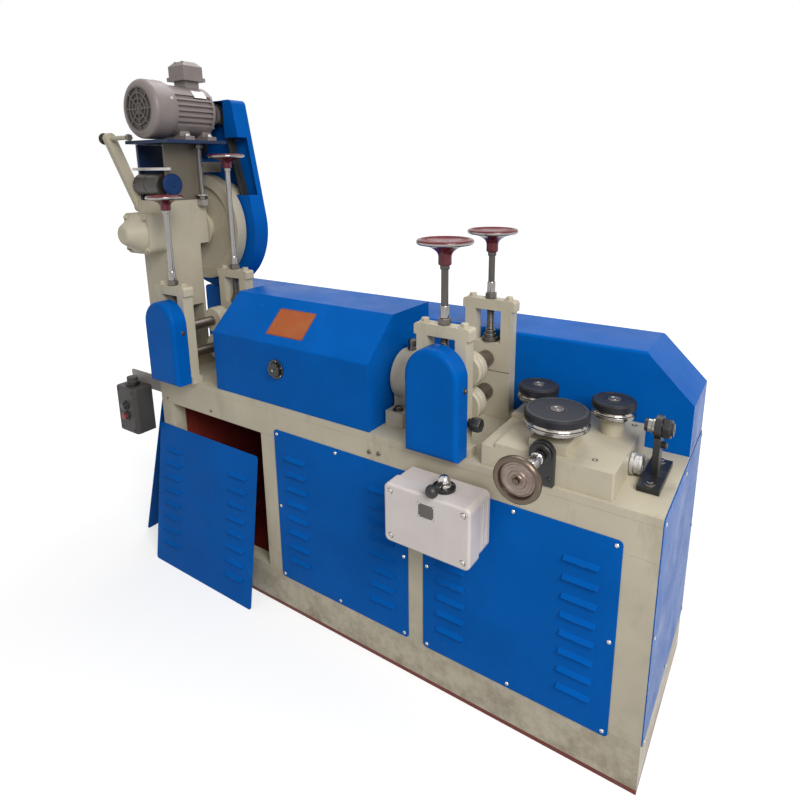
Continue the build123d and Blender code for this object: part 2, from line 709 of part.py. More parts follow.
# press column: a deep head for the crank on a slimmer column, with a tunnel for the wire
tower_y0 = FRONT + TOWER_Y0
tower_y1 = FRONT + TOWER_Y1
head_y1 = FRONT + HEAD_Y1
boss_y0 = tower_y0 - CRANK_BOSS_L
with BuildPart() as tower:
    with BuildSketch(Plane.YZ.offset(LEFT + TOWER_X0)):
        with BuildLine():
            Polyline(
                (tower_y0, BED_TOP),
                (tower_y0, TOWER_TOP),
                (head_y1, TOWER_TOP),
                (head_y1, TOWER_TOP - HEAD_H),
                (tower_y1, TOWER_TOP - HEAD_H),
                (tower_y1, BED_TOP),
                close=True,
            )
        make_face()
    extrude(amount=TOWER_X1 - TOWER_X0)
    fillet(tower.edges().filter_by(Axis.Z), TOWER_R)
    slab(LEFT, LEFT + TOE_X1, tower_y0, tower_y1, BED_TOP, BED_TOP + TOE_H)
    with BuildSketch(Plane.XZ.offset(-tower_y0 - TOWER_R)) as boss:
        with Locations((CRANK, CRANK_Z)):
            RectangleRounded(CRANK_BOSS_W, CRANK_BOSS_W, CRANK_BOSS_R)
    extrude(boss.sketch, amount=CRANK_BOSS_L + TOWER_R)
    bar_y(CRANK, CRANK_Z, head_y1, head_y1 + HEAD_RING_T, HEAD_RING_R)
    slab(LEFT + TOWER_X0 - OVERRUN, LEFT + TOE_X1 + OVERRUN, WIRE - TUNNEL_W / 2, WIRE + TUNNEL_W / 2,
         BED_TOP + TOE_H, TUNNEL_TOP, Mode.SUBTRACT)
    bar_y(CRANK, CRANK_Z, boss_y0 - OVERRUN, head_y1 + HEAD_RING_T + OVERRUN, CRANK_R + FIT, Mode.SUBTRACT)
save(tower.part, "press_column")

with BuildPart() as shelf:
    slab(LEFT + TOWER_X0, LEFT, tower_y0, tower_y1, BED_TOP - SHELF_H, BED_TOP)
    chamfer(shelf.edges().filter_by(Axis.Y).group_by(Axis.Z)[0].sort_by(Axis.X)[0], SHELF_CUT)
save(shelf.part, "press_shelf")

with BuildPart() as crank_cap:
    with Locations(Location((CRANK, boss_y0 - CRANK_CAP_L / 2, CRANK_Z), (90, 0, 0))):
        Cone(CRANK_CAP_R, CRANK_TIP_R, CRANK_CAP_L)
    fillet(crank_cap.edges().group_by(Axis.Y)[0], CRANK_TIP_ROUND)
save(crank_cap.part, "press_crank_cap")

# flywheel on the crankshaft, with the belt pulley behind it
with BuildPart() as flywheel:
    with BuildSketch(Plane.YZ.offset(CRANK)) as section:
        with BuildLine():
            web = (FLY_W - FLY_WEB_T) / 2
            Polyline(
                (FLY_Y0 - FLY_GAP / 2, CRANK_Z),
                (FLY_Y0 - FLY_GAP / 2, CRANK_Z + FLY_HUB_R),
                (FLY_Y0 + web, CRANK_Z + FLY_HUB_R),
                (FLY_Y0 + web, CRANK_Z + FLY_R - FLY_RIM),
                (FLY_Y0, CRANK_Z + FLY_R - FLY_RIM),
                (FLY_Y0, CRANK_Z + FLY_R),
                (FLY_Y1, CRANK_Z + FLY_R),
                (FLY_Y1, CRANK_Z + FLY_R - FLY_RIM),
                (FLY_Y1 - web, CRANK_Z + FLY_R - FLY_RIM),
                (FLY_Y1 - web, CRANK_Z + FLY_HUB_R),
                (FLY_Y1, CRANK_Z + FLY_HUB_R),
                (FLY_Y1, CRANK_Z),
                close=True,
            )
        make_face()
    revolve(axis=Axis((CRANK, 0, CRANK_Z), (0, 1, 0)))
    bar_y(CRANK, CRANK_Z, boss_y0 + SEAT, BELT_MID, CRANK_R)
    bar_y(CRANK, CRANK_Z, BELT_MID - PULLEY_W / 2, BELT_MID + PULLEY_W / 2, BELT_WHEEL_R)
save(flywheel.part, "flywheel")

# belt case behind the flywheel: a sheet shell with a round foot and a flat narrower top
case_top = MOTOR_Z + CASE_TOP_UP
case_corner = CASE_TOP_W / 2 - CASE_TOP_R
tongue_z0 = CRANK_Z + FLY_R + FLY_CLEAR
slot_low = tongue_z0 + TONGUE_H + CASE_SLOT_EDGE
notch_x = MOTOR + CASE_TOP_W / 2 - CASE_NOTCH_W
corner_z = case_top - CASE_TOP_R
with BuildPart() as case:
    for inset, y0, y1, mode in (
        (0, CASE_Y0, CASE_Y1, Mode.ADD),
        (CASE_T, CASE_Y0 + CASE_T, CASE_Y1 - CASE_T, Mode.SUBTRACT),
    ):
        with BuildSketch(Plane.XZ.offset(-y0)) as outline:
            with Locations((CRANK, CRANK_Z)):
                Circle(CASE_R_LOW - inset)
            with Locations((MOTOR - case_corner, corner_z), (MOTOR + case_corner, corner_z)):
                Circle(CASE_TOP_R - inset)
            make_hull()
        extrude(outline.sketch, amount=-(y1 - y0), mode=mode)
    cut_y1 = CASE_Y0 + CASE_T + OVERRUN
    bar_y(CRANK, CRANK_Z, CASE_Y0 - OVERRUN, cut_y1, CRANK_R + CASE_HOLE_ROOM, Mode.SUBTRACT)
    slab(MOTOR - CASE_SLOT_W / 2, MOTOR + CASE_SLOT_W / 2, CASE_Y0 - OVERRUN, cut_y1,
         slot_low, case_top + OVERRUN, Mode.SUBTRACT)
    slab(LEFT + TOWER_X1 + CASE_SLOT_EDGE, notch_x + OVERRUN, CASE_Y0 - OVERRUN, cut_y1,
         CRANK_Z + CASE_NOTCH_Z0, CRANK_Z + CASE_NOTCH_Z1, Mode.SUBTRACT)
    slab(notch_x, CRANK + CASE_R_LOW + OVERRUN, CASE_Y0 - OVERRUN,
         CASE_Y0 + CASE_NOTCH_D, CRANK_Z + CASE_NOTCH_Z0, CRANK_Z + CASE_NOTCH_Z1, Mode.SUBTRACT)
save(case.part, "belt_case")

# a pair of belts round both pulleys
with BuildPart() as belts:
    for i in range(BELT_N):
        y = BELT_MID + (i - (BELT_N - 1) / 2) * BELT_PITCH - BELT_W / 2
        for grow, mode in ((BELT_T, Mode.ADD), (0, Mode.SUBTRACT)):
            with BuildSketch(Plane.XZ.offset(-y)) as loop:
                with Locations((CRANK, CRANK_Z)):
                    Circle(BELT_WHEEL_R + SEAT + grow)
                with Locations((MOTOR, MOTOR_Z)):
                    Circle(PULLEY_R + SEAT + grow)
                make_hull()
            extrude(loop.sketch, amount=-BELT_W, mode=mode)
save(belts.part, "belts")

# motor plate on two cheeks, with an adjusting stud
plate_low = PLATE_TOP - PLATE_T
with BuildPart() as plate:
    slab(LEFT + PLATE_X0, LEFT + PLATE_X1, FRONT + PLATE_Y0, FRONT + PLATE_Y1, plate_low, PLATE_TOP)
save(plate.part, "motor_plate")
with BuildPart() as cheeks:
    for cx in (LEFT + TOWER_X0, LEFT + TOWER_X1 - CHEEK_T):
        slab(cx, cx + CHEEK_T, FRONT + CHEEK_Y0, FRONT + CHEEK_Y1, TOWER_TOP, plate_low)
        slab(cx, cx + CHEEK_T, FRONT + CHEEK_Y1, CASE_Y0, tongue_z0, tongue_z0 + TONGUE_H)
save(cheeks.part, "motor_cheeks")
with BuildPart() as stud:
    bar_z(LEFT + STUD_X, FRONT + STUD_Y, TOWER_TOP - LUG_H, plate_low, STUD_R)
    slab(LEFT + TOWER_X1, LEFT + STUD_X + LUG_H / 2, FRONT + STUD_Y - LUG_H / 2, FRONT + STUD_Y + LUG_H / 2,
         TOWER_TOP - LUG_H, TOWER_TOP)
save(stud.part, "motor_stud")

# strut: a flat bar with round ends and a rod through its head
strut_x1 = LEFT + TOWER_X0
strut_y = tower_y0 + STRUT_IN
strut_head = (strut_y - STRUT_OUT, PLATE_TOP + STRUT_UP)
with BuildPart() as strut:
    with BuildSketch(Plane.YZ.offset(strut_x1 - STRUT_T)) as bar:
        with Locations((strut_y, TOWER_TOP - STRUT_LAP), strut_head):
            Circle(STRUT_W / 2)
        make_hull()
    extrude(bar.sketch, amount=STRUT_T)
    bar_x(strut_head[0], strut_head[1], strut_x1 - STRUT_T - ROD_OUT, strut_x1 + ROD_IN, ROD_R)
save(strut.part, "motor_strut")

# motor: fan cowl with a grille to the front, finned body, bell, shaft and pulley towards the belts
cowl_y0 = FRONT + MOTOR_Y0
cowl_y1 = cowl_y0 + COWL_L
body_y1 = cowl_y0 + MOTOR_L
foot_top = PLATE_TOP + MOTOR_FOOT_T
term_y1 = body_y1 - FIN_END
term_y0 = term_y1 - TERM_L
term_z = MOTOR_Z + MOTOR_R + TERM_NECK_H
with BuildPart() as motor:
    bar_y(MOTOR, MOTOR_Z, cowl_y0, cowl_y1, MOTOR_R)
    fillet(motor.edges().group_by(Axis.Y)[0], COWL_EDGE_R)
    bar_y(MOTOR, MOTOR_Z, cowl_y0 - OVERRUN, cowl_y0 + GRILLE_DEPTH, GRILLE_R, Mode.SUBTRACT)
    # rings and spokes of the grille stand in the recess
    for i in range(GRILLE_RINGS):
        ring_r = GRILLE_R * (i + 1) / (GRILLE_RINGS + 1)
        with BuildSketch(Plane.XZ.offset(-cowl_y0)) as ring:
            with Locations((MOTOR, MOTOR_Z)):
                Circle(ring_r + GRILLE_BAR / 2)
                Circle(ring_r - GRILLE_BAR / 2, mode=Mode.SUBTRACT)
        extrude(ring.sketch, amount=-GRILLE_DEPTH)
    with BuildSketch(Plane.XZ.offset(-cowl_y0)) as spokes:
        with Locations((MOTOR, MOTOR_Z)):
            with PolarLocations(GRILLE_R / 2, GRILLE_SPOKES):
                Rectangle(GRILLE_R, GRILLE_BAR)
    extrude(spokes.sketch, amount=-GRILLE_DEPTH)
    # stepped lip where the cowl grips the body
    bar_y(MOTOR, MOTOR_Z, cowl_y1, cowl_y1 + COWL_LIP_L, MOTOR_R - COWL_LIP)
    bar_y(MOTOR, MOTOR_Z, cowl_y1, body_y1, MOTOR_BODY_R)
    for side in (-1, 1):
        for i in range(FIN_GROOVES):
            z = (i - (FIN_GROOVES - 1) / 2) * FIN_PITCH
            gap = (FIN_PITCH - FIN_T) / 2
            x0, x1 = sorted((
                MOTOR + side * (sqrt(MOTOR_BODY_R ** 2 - z ** 2) - FIN_H),
                MOTOR + side * (MOTOR_BODY_R + OVERRUN),
            ))
            slab(x0, x1, cowl_y1 + COWL_LIP_L + FIN_END, body_y1 - FIN_END,
                 MOTOR_Z + z - gap, MOTOR_Z + z + gap, Mode.SUBTRACT)
    # bell, shaft and pulley
    with Locations(Location((MOTOR, body_y1 + BELL_L / 2, MOTOR_Z), (-90, 0, 0))):
        Cone(MOTOR_BODY_R, BELL_R, BELL_L)
    bar_y(MOTOR, MOTOR_Z, body_y1, BELT_MID + PULLEY_W / 2, MOTOR_SHAFT_R)
    bar_y(MOTOR, MOTOR_Z, BELT_MID - PULLEY_W / 2, BELT_MID + PULLEY_W / 2, PULLEY_R)
    # feet at both ends of the body, joined to it by a leg
    for y0 in (body_y1 - MOTOR_LEG_L, body_y1 - MOTOR_FOOT_L):
        slab(MOTOR - MOTOR_FOOT_W / 2, MOTOR + MOTOR_FOOT_W / 2, y0, y0 + MOTOR_FOOT_L, PLATE_TOP, foot_top)
        slab(MOTOR - MOTOR_LEG_W / 2, MOTOR + MOTOR_LEG_W / 2, y0, y0 + MOTOR_FOOT_L, PLATE_TOP,
             MOTOR_Z - MOTOR_BODY_R / 2)
    # terminal box: neck, flange and bevelled lid
    slab(MOTOR - TERM_W / 2 + TERM_NECK, MOTOR + TERM_W / 2 - TERM_NECK, term_y0 + TERM_NECK,
         term_y1 - TERM_NECK, MOTOR_Z, term_z)
    slab(MOTOR - TERM_W / 2 - TERM_FLANGE, MOTOR + TERM_W / 2 + TERM_FLANGE, term_y0 - TERM_FLANGE,
         term_y1 + TERM_FLANGE, term_z, term_z + TERM_FLANGE_T)
    with BuildSketch(Plane.XY.offset(term_z + TERM_FLANGE_T)) as lid:
        with Locations((MOTOR, (term_y0 + term_y1) / 2)):
            Rectangle(TERM_W, TERM_L)
    extrude(lid.sketch, amount=TERM_LID_H)
    chamfer(motor.faces().sort_by(Axis.Z)[-1].edges(), TERM_BEVEL)
save(motor.part, "motor")

# cutter: die on the column's sill and the ram above it
with BuildPart() as cutter:
    slab(CRANK - RAM_W / 2, CRANK + RAM_W / 2, WIRE - RAM_D / 2, WIRE + RAM_D / 2,
         WIRE_Z + RAM_GAP, TUNNEL_TOP)
    slab(CRANK - DIE_W / 2, CRANK + DIE_W / 2, WIRE - RAM_D / 2, WIRE + RAM_D / 2,
         BED_TOP + TOE_H, WIRE_Z + DIE_ABOVE)
    bar_x(WIRE, WIRE_Z, CRANK - DIE_W, CRANK + DIE_W, DRUM_BORE_R, Mode.SUBTRACT)
save(cutter.part, "cutter")

# entry roller block with its slide and three grooved rollers
block_x0 = BIG_X - BLOCK_L / 2
block_x1 = BIG_X + BLOCK_L / 2
with BuildPart() as block:
    slab(block_x0, block_x1, FRONT + BLOCK_Y0, FRONT + BLOCK_Y1, BED_TOP, BLOCK_TOP)
    fillet(block.edges().filter_by(Axis.Z), BLOCK_R)
    slab(block_x0 - OVERRUN, block_x0 + POCKET_W, FRONT + BLOCK_Y0 - OVERRUN, SMALL_Y - BOSS_R,
         BLOCK_TOP - POCKET_H, BLOCK_TOP + OVERRUN, Mode.SUBTRACT)
    for sx in (BIG_X - SMALL_SPREAD, BIG_X + SMALL_SPREAD):
        bar_z(sx, SMALL_Y, BLOCK_TOP, ROLLER_LOW - SEAT, BOSS_R)
        bar_z(sx, SMALL_Y, BLOCK_TOP, ROLLER_TOP, PIN_R)
save(block.part, "roller_block")

slide_y0 = BIG_Y - SLIDE_L / 2
lead_end = slide_y0 + LEAD_IN
slide_top = BLOCK_TOP + SEAT + SLIDE_H
with BuildPart() as slide:
    slab(BIG_X - SLIDE_W / 2, BIG_X + SLIDE_W / 2, slide_y0, slide_y0 + SLIDE_L, BLOCK_TOP + SEAT, slide_top)
    bar_z(BIG_X, BIG_Y, slide_top, ROLLER_LOW - SEAT, BOSS_R)
    bar_z(BIG_X, BIG_Y, slide_top, ROLLER_TOP, PIN_R)
    bar_y(BIG_X, SCREW_Z, slide_y0 - OVERRUN, lead_end + SLIDE_TRAVEL + OVERRUN, LEAD_R + FIT, Mode.SUBTRACT)
save(slide.part, "roller_slide")


def grooved_roller(x, y, r):
    # flat-topped roller with a rounded wire groove in its rim
    with BuildPart() as roller:
        with BuildSketch(Plane.XZ.offset(-y)) as section:
            with BuildLine():
                Polyline(
                    (x + r, WIRE_Z + ROLLER_GROOVE),
                    (x + r, ROLLER_TOP - ROLLER_EDGE_R),
                    (x + r - ROLLER_EDGE_R, ROLLER_TOP),
                    (x + PIN_R + FIT, ROLLER_TOP),
                    (x + PIN_R + FIT, ROLLER_LOW),
                    (x + r, ROLLER_LOW),
                    (x + r, WIRE_Z - ROLLER_GROOVE),
                )
                ThreePointArc(
                    (x + r, WIRE_Z - ROLLER_GROOVE),
                    (x + r - ROLLER_GROOVE, WIRE_Z),
                    (x + r, WIRE_Z + ROLLER_GROOVE),
                )
            make_face()
        revolve(section.sketch, axis=Axis((x, y, 0), (0, 0, 1)))
    return roller.part


save(grooved_roller(BIG_X, BIG_Y, BIG_R), "roller_front")
save(grooved_roller(BIG_X - SMALL_SPREAD, SMALL_Y, SMALL_R), "roller_rear_left")
save(grooved_roller(BIG_X + SMALL_SPREAD, SMALL_Y, SMALL_R), "roller_rear_right")

# bracket and handwheel that move the slide
with BuildPart() as bracket:
    with BuildSketch(Plane.XZ.offset(-(FRONT + BLOCK_Y0))):
        with Locations((BIG_X, (BED_TOP + SCREW_Z) / 2)):
            Rectangle(BRACKET_W, SCREW_Z - BED_TOP)
        with Locations((BIG_X, SCREW_Z)):
            Circle(BRACKET_W / 2)
            Circle(LEAD_R + FIT, mode=Mode.SUBTRACT)
    extrude(amount=BRACKET_PLATE_T)
save(bracket.part, "slide_bracket")

knob_y = FRONT + KNOB_Y
with BuildPart() as slide_wheel:
    bar_y(BIG_X, SCREW_Z, knob_y, lead_end, LEAD_R)
    bar_y(BIG_X, SCREW_Z, knob_y, knob_y + KNOB_HUB_L, KNOB_HUB_R)
    bar_y(BIG_X, SCREW_Z, knob_y - KNOB_WEB_T / 2, knob_y + KNOB_WEB_T / 2, KNOB_R - KNOB_RIM_R)
    with Locations(Location((BIG_X, knob_y, SCREW_Z), (90, 0, 0))):
        Torus(KNOB_R - KNOB_RIM_R, KNOB_RIM_R)
save(slide_wheel.part, "slide_handwheel")

# wire guide at the inlet
with BuildPart() as guide:
    gx0 = GUIDE_X - GUIDE_BAR_T / 2
    gx1 = GUIDE_X + GUIDE_BAR_T / 2
    slab(GUIDE_X - GUIDE_PLATE_W / 2, GUIDE_X + GUIDE_PLATE_W / 2, WIRE - GUIDE_PLATE_D / 2,
         WIRE + GUIDE_PLATE_D / 2, BED_TOP, BED_TOP + GUIDE_PLATE_T)
    slab(gx0, gx1, WIRE - GUIDE_BAR_W / 2, WIRE + GUIDE_BAR_W / 2, BED_TOP, WIRE_Z)
    bar_x(WIRE, WIRE_Z, gx0, gx1, GUIDE_HEAD_R)
    bar_x(WIRE, WIRE_Z, GUIDE_X - BUSH_L / 2, GUIDE_X + BUSH_L / 2, BUSH_R)
    bar_x(WIRE, WIRE_Z, gx1, gx1 + BUSH_COLLAR_L, BUSH_COLLAR_R)
    bar_x(WIRE, WIRE_Z, GUIDE_X - BUSH_L, GUIDE_X + BUSH_L, BUSH_BORE_R, Mode.SUBTRACT)
save(guide.part, "wire_guide")

# control box on the right panel: a body with a deep lid on feet, and a ball lever on top
box_y1 = FRONT - BOX_PAD
box_y0 = box_y1 - BOX_D
box_mid = (BOX_X0 + BOX_X1) / 2
box_mid_z = (BOX_Z0 + BOX_Z1) / 2
with BuildPart() as control_box:
    with BuildSketch(Plane.XZ.offset(-(box_y0 + BOX_LID))) as lid_face:
        with Locations((box_mid, box_mid_z)):
            RectangleRounded(BOX_L, BOX_H, BOX_R)
    extrude(lid_face.sketch, amount=BOX_LID)
    fillet(control_box.faces().sort_by(Axis.Y)[0].edges(), BOX_EDGE_R)
    with BuildSketch(Plane.XZ.offset(-box_y1)) as body_face:
        with Locations((box_mid, box_mid_z)):
            RectangleRounded(BOX_L - BOX_LIP * 2, BOX_H - BOX_LIP * 2, BOX_R)
    extrude(body_face.sketch, amount=BOX_D - BOX_LID)
    for sx in (BOX_X0 + BOX_SCREW_INSET, BOX_X1 - BOX_SCREW_INSET):
        for sz in (BOX_Z0 + BOX_SCREW_INSET, BOX_Z1 - BOX_SCREW_INSET):
            bar_y(sx, sz, box_y0 - OVERRUN, box_y0 + BOX_SCREW_SINK, BOX_SCREW_R, Mode.SUBTRACT)
    pad_x = BOX_X0 + BOX_PAD_INSET
    slab(pad_x, pad_x + BOX_PAD_W, box_y1, FRONT, BOX_Z0 + BOX_R, BOX_Z1 - BOX_R)
    pad_x = BOX_X1 - BOX_PAD_INSET - BOX_PAD_W
    slab(pad_x, pad_x + BOX_PAD_W, box_y1, FRONT - SHEET_T, BOX_Z0 + BOX_R, BOX_Z1 - BOX_R)
save(control_box.part, "control_box")

stick_y = FRONT + STICK_Y
stick_z = BOX_Z1 + STICK_BASE_H + STICK_DOME_R
with BuildPart() as stick:
    bar_z(STICK_X, stick_y, BOX_Z1 + SEAT, BOX_Z1 + STICK_BASE_H, STICK_BASE_R)
    bar_z(STICK_X, stick_y, BOX_Z1 + STICK_BASE_H, stick_z, STICK_DOME_R)
    with Locations((STICK_X, stick_y, stick_z)):
        Sphere(STICK_DOME_R)
    bar_y(STICK_X, stick_z, stick_y - STICK_ARM_L, stick_y, STICK_ARM_R)
    with Locations((STICK_X, stick_y - STICK_ARM_L, stick_z)):
        Sphere(STICK_BALL_R)
save(stick.part, "control_lever")

# starter box on an arm at the left end
start_x0 = LEFT + START_X0
start_mid = start_x0 + START_L / 2
start_z1 = BED_TOP - START_DROP
start_z0 = start_z1 - START_H
start_y0 = FRONT - START_D
with BuildPart() as starter:
    slab(start_x0, start_x0 + START_L, start_y0, FRONT, start_z0, start_z1)
    fillet(starter.edges().filter_by(Axis.Z).group_by(Axis.Y)[0], START_R)
    fillet(starter.faces().sort_by(Axis.Y)[0].edges().filter_by(Axis.X), START_EDGE_R)
    for i in range(BUTTON_N):
        z = start_z0 + BUTTON_LOW + i * BUTTON_PITCH
        bar_y(start_mid, z, start_y0 - BUTTON_OUT, FRONT - START_D / 2, BUTTON_R)
    bar_z(start_mid, FRONT - START_D / 2, start_z1, start_z1 + GLAND_H, GLAND_R)
save(starter.part, "starter_box")
with BuildPart() as starter_arm:
    slab(start_x0, LEFT, FRONT, FRONT + START_ARM_T, BED_LOW - START_ARM_H, BED_LOW)
    slab(LEFT - START_ARM_T, LEFT, FRONT, FRONT + START_ARM_BACK, BED_LOW - START_ARM_LAP, BED_LOW)
save(starter_arm.part, "starter_arm")
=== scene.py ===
"""Looks of the wire straightening and cutting machine: paint, bright metal, fasteners and studio."""
import json
import math
from itertools import product

import bmesh
import bpy
from mathutils import Matrix, Vector


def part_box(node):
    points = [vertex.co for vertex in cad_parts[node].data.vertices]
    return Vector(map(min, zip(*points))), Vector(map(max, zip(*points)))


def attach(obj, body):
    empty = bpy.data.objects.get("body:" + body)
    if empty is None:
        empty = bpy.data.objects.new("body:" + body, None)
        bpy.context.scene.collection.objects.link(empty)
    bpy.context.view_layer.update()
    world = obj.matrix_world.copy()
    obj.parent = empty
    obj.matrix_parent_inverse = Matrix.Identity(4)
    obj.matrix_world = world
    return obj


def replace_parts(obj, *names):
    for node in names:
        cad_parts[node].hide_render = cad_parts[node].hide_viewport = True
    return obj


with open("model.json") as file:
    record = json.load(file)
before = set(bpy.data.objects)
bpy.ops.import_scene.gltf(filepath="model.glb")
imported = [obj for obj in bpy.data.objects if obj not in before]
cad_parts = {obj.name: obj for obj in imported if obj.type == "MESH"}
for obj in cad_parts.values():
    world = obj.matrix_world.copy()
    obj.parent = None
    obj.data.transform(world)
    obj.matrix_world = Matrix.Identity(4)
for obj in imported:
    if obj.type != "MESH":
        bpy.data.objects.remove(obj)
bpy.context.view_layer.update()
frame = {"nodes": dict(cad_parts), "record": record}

X = Vector((1, 0, 0))
Y = Vector((0, 1, 0))
Z = Vector((0, 0, 1))
FIXED = "machine"


def mid(low, high):
    """The middle between two coordinates."""
    return (low + high) / 2


# places on the machine, in metres

bed_low, bed_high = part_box("bed_plate")
guide_low, guide_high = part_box("wire_guide")
motor_low, motor_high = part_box("motor")
LEFT, FRONT = bed_low.x, bed_low.y
RIGHT, BACK = bed_high.x, bed_high.y
BED_LOW, BED_TOP = bed_low.z, bed_high.z
POST_D = 0.05
SHEET_T = 0.0025
WIRE_Y = mid(guide_low.y, guide_high.y)
WIRE_Z = 0.905
MOTOR_X = mid(motor_low.x, motor_high.x)
MOTOR_Z = motor_low.z + 0.107
MOTOR_R = 0.103

# node trees

SOFT_STEP = 0.0006
ROUND_EDGE = 0.0022
ROUND_SMALL = 0.0016
EDGE_WORN, EDGE_CLEAN = 0.8, 0.99


def add(tree, kind, inputs, operation=None):
    """A new shader node, with a constant or a link for each of its inputs."""
    node = tree.nodes.new("ShaderNode" + kind)
    if operation:
        node.operation = operation
    feed(tree, node, inputs)
    return node


def feed(tree, node, inputs):
    """Gives inputs their constants or links."""
    for name, value in inputs.items():
        if isinstance(value, bpy.types.NodeSocket):
            tree.links.new(value, node.inputs[name])
        else:
            node.inputs[name].default_value = value


def new_material(name):
    """An empty material with a Principled shader and its output."""
    mat = bpy.data.materials.new(name)
    mat.use_nodes = True
    tree = mat.node_tree
    tree.nodes.clear()
    shader = add(tree, "BsdfPrincipled", {})
    add(tree, "OutputMaterial", {"Surface": shader.outputs["BSDF"]})
    return mat, tree, shader


def object_coords(tree):
    """The machine's own frame, which moves with each body."""
    return add(tree, "TexCoord", {}).outputs["Object"]


def true_normal(tree):
    """The direction in which a face looks."""
    return add(tree, "NewGeometry", {}).outputs["Normal"]


def axis_of(tree, vector, axis):
    """One coordinate of a vector."""
    return add(tree, "SeparateXYZ", {"Vector": vector}).outputs[axis]


def coord(tree, axis):
    """One coordinate in the machine's own frame."""
    return axis_of(tree, object_coords(tree), axis)


def noise(tree, scale, detail=4.0, rough=0.55, stretch=(1, 1, 1)):
    """Noise that stays put on its body."""
    mapping = add(tree, "Mapping", {"Scale": stretch, "Vector": object_coords(tree)})
    return add(tree, "TexNoise", {"Scale": scale, "Detail": detail, "Roughness": rough,
                                  "Vector": mapping.outputs["Vector"]}).outputs["Fac"]


def ramp(tree, source, low, high, dark=0.0, light=1.0):
    """Maps a value between two thresholds."""
    return add(tree, "MapRange", {"Value": source, "From Min": low, "From Max": high,
                                  "To Min": dark, "To Max": light}).outputs["Result"]


def math_node(tree, operation, a, b):
    """Two values joined by one operation, held between 0 and 1."""
    node = add(tree, "Math", {0: a, 1: b}, operation)
    node.use_clamp = True
    return node.outputs["Value"]


def mix_colour(tree, factor, a, b):
    """Colour a where the factor is 0 and b where it is 1."""
    node = add(tree, "Mix", {"Factor": factor})
    node.data_type = "RGBA"
    for socket, value in (("A", a), ("B", b)):
        target = [s for s in node.inputs if s.name == socket and s.type == "RGBA"][0]
        if isinstance(value, tuple):
            target.default_value = (*value, 1.0)
        else:
            tree.links.new(value, target)
    return [s for s in node.outputs if s.type == "RGBA"][0]


def above(tree, source, level, soft=SOFT_STEP):
    """1 above a level."""
    return ramp(tree, source, level - soft, level + soft)


def below(tree, source, level, soft=SOFT_STEP):
    """1 below a level."""
    return ramp(tree, source, level + soft, level - soft)


def all_of(tree, *factors):
    """1 where all the factors are."""
    result = factors[0]
    for factor in factors[1:]:
        result = math_node(tree, "MULTIPLY", result, factor)
    return result


def any_seen(tree):
    """1 for camera, glossy and transmission rays, so that metal shows the background too."""
    rays = add(tree, "LightPath", {}).outputs
    seen = math_node(tree, "ADD", rays["Is Camera Ray"], rays["Is Glossy Ray"])
    return math_node(tree, "ADD", seen, rays["Is Transmission Ray"])


def edge_mask(tree, radius):
    """A mask along sharp edges, from how far the rounded normal leaves the true one, and that normal."""
    bevel = add(tree, "Bevel", {"Radius": radius})
    bevel.samples = 4
    rounded = bevel.outputs["Normal"]
    dot = add(tree, "VectorMath", {0: rounded, 1: true_normal(tree)}, "DOT_PRODUCT")
    return ramp(tree, dot.outputs["Value"], EDGE_CLEAN, EDGE_WORN), rounded


def bump(tree, shader, height, strength, distance, rounded=None):
    """Fine relief on the shader."""
    node = add(tree, "Bump", {"Strength": strength, "Distance": distance, "Height": height})
    if rounded is not None:
        feed(tree, node, {"Normal": rounded})
    feed(tree, shader, {"Normal": node.outputs["Normal"]})


def darker(colour, share):
    """A colour at a share of its strength."""
    return tuple(c * share for c in colour)


def paint(name, colour, rough, shade=0.86, dirt=(0.16, 0.12, 0.08), dirt_level=0.62,
          chip=(0.3, 0.27, 0.23), coat=0.0, specular=0.5, peel=0.1, scuff=None, others=()):
    """Machine enamel: cloudy shade, grime in patches, chips along the edges and orange peel.

    others holds further colours, each with the mask where it shows."""
    mat, tree, shader = new_material(name)
    cloud = ramp(tree, noise(tree, scale=5.0, detail=3.0), 0.35, 0.68)
    base = mix_colour(tree, cloud, darker(colour, shade), colour)
    for other, mask in others:
        tone = mix_colour(tree, cloud, darker(other, shade), other)
        base = mix_colour(tree, mask(tree), base, tone)
    grime = noise(tree, scale=11.0, detail=8.0, rough=0.68, stretch=(1, 1, 0.35))
    dirty = ramp(tree, grime, dirt_level, dirt_level + 0.22, 0.0, 0.42)
    base = mix_colour(tree, dirty, base, dirt)
    if scuff:
        streaks = noise(tree, scale=58.0, detail=5.0, rough=0.75, stretch=(1, 1, 0.28))
        patches = noise(tree, scale=3.2, detail=3.0)
        scuffed = all_of(tree, ramp(tree, streaks, 0.62, 0.72), ramp(tree, patches, 0.52, 0.66, 0.0, 0.55))
        base = mix_colour(tree, scuffed, base, scuff)
    edges, rounded = edge_mask(tree, ROUND_EDGE)
    patchy = ramp(tree, noise(tree, scale=42.0, detail=6.0, rough=0.7), 0.52, 0.66)
    base = mix_colour(tree, all_of(tree, edges, patchy), base, chip)
    smear = noise(tree, scale=7.0, detail=6.0, rough=0.65)
    feed(tree, shader, {
        "Base Color": base, "Roughness": ramp(tree, smear, 0.3, 0.75, rough * 0.75, rough * 1.45),
        "Specular IOR Level": specular, "Coat Weight": coat, "Coat Roughness": 0.06,
    })
    bump(tree, shader, noise(tree, scale=260.0, detail=2.0), peel, 0.0006, rounded)
    return mat


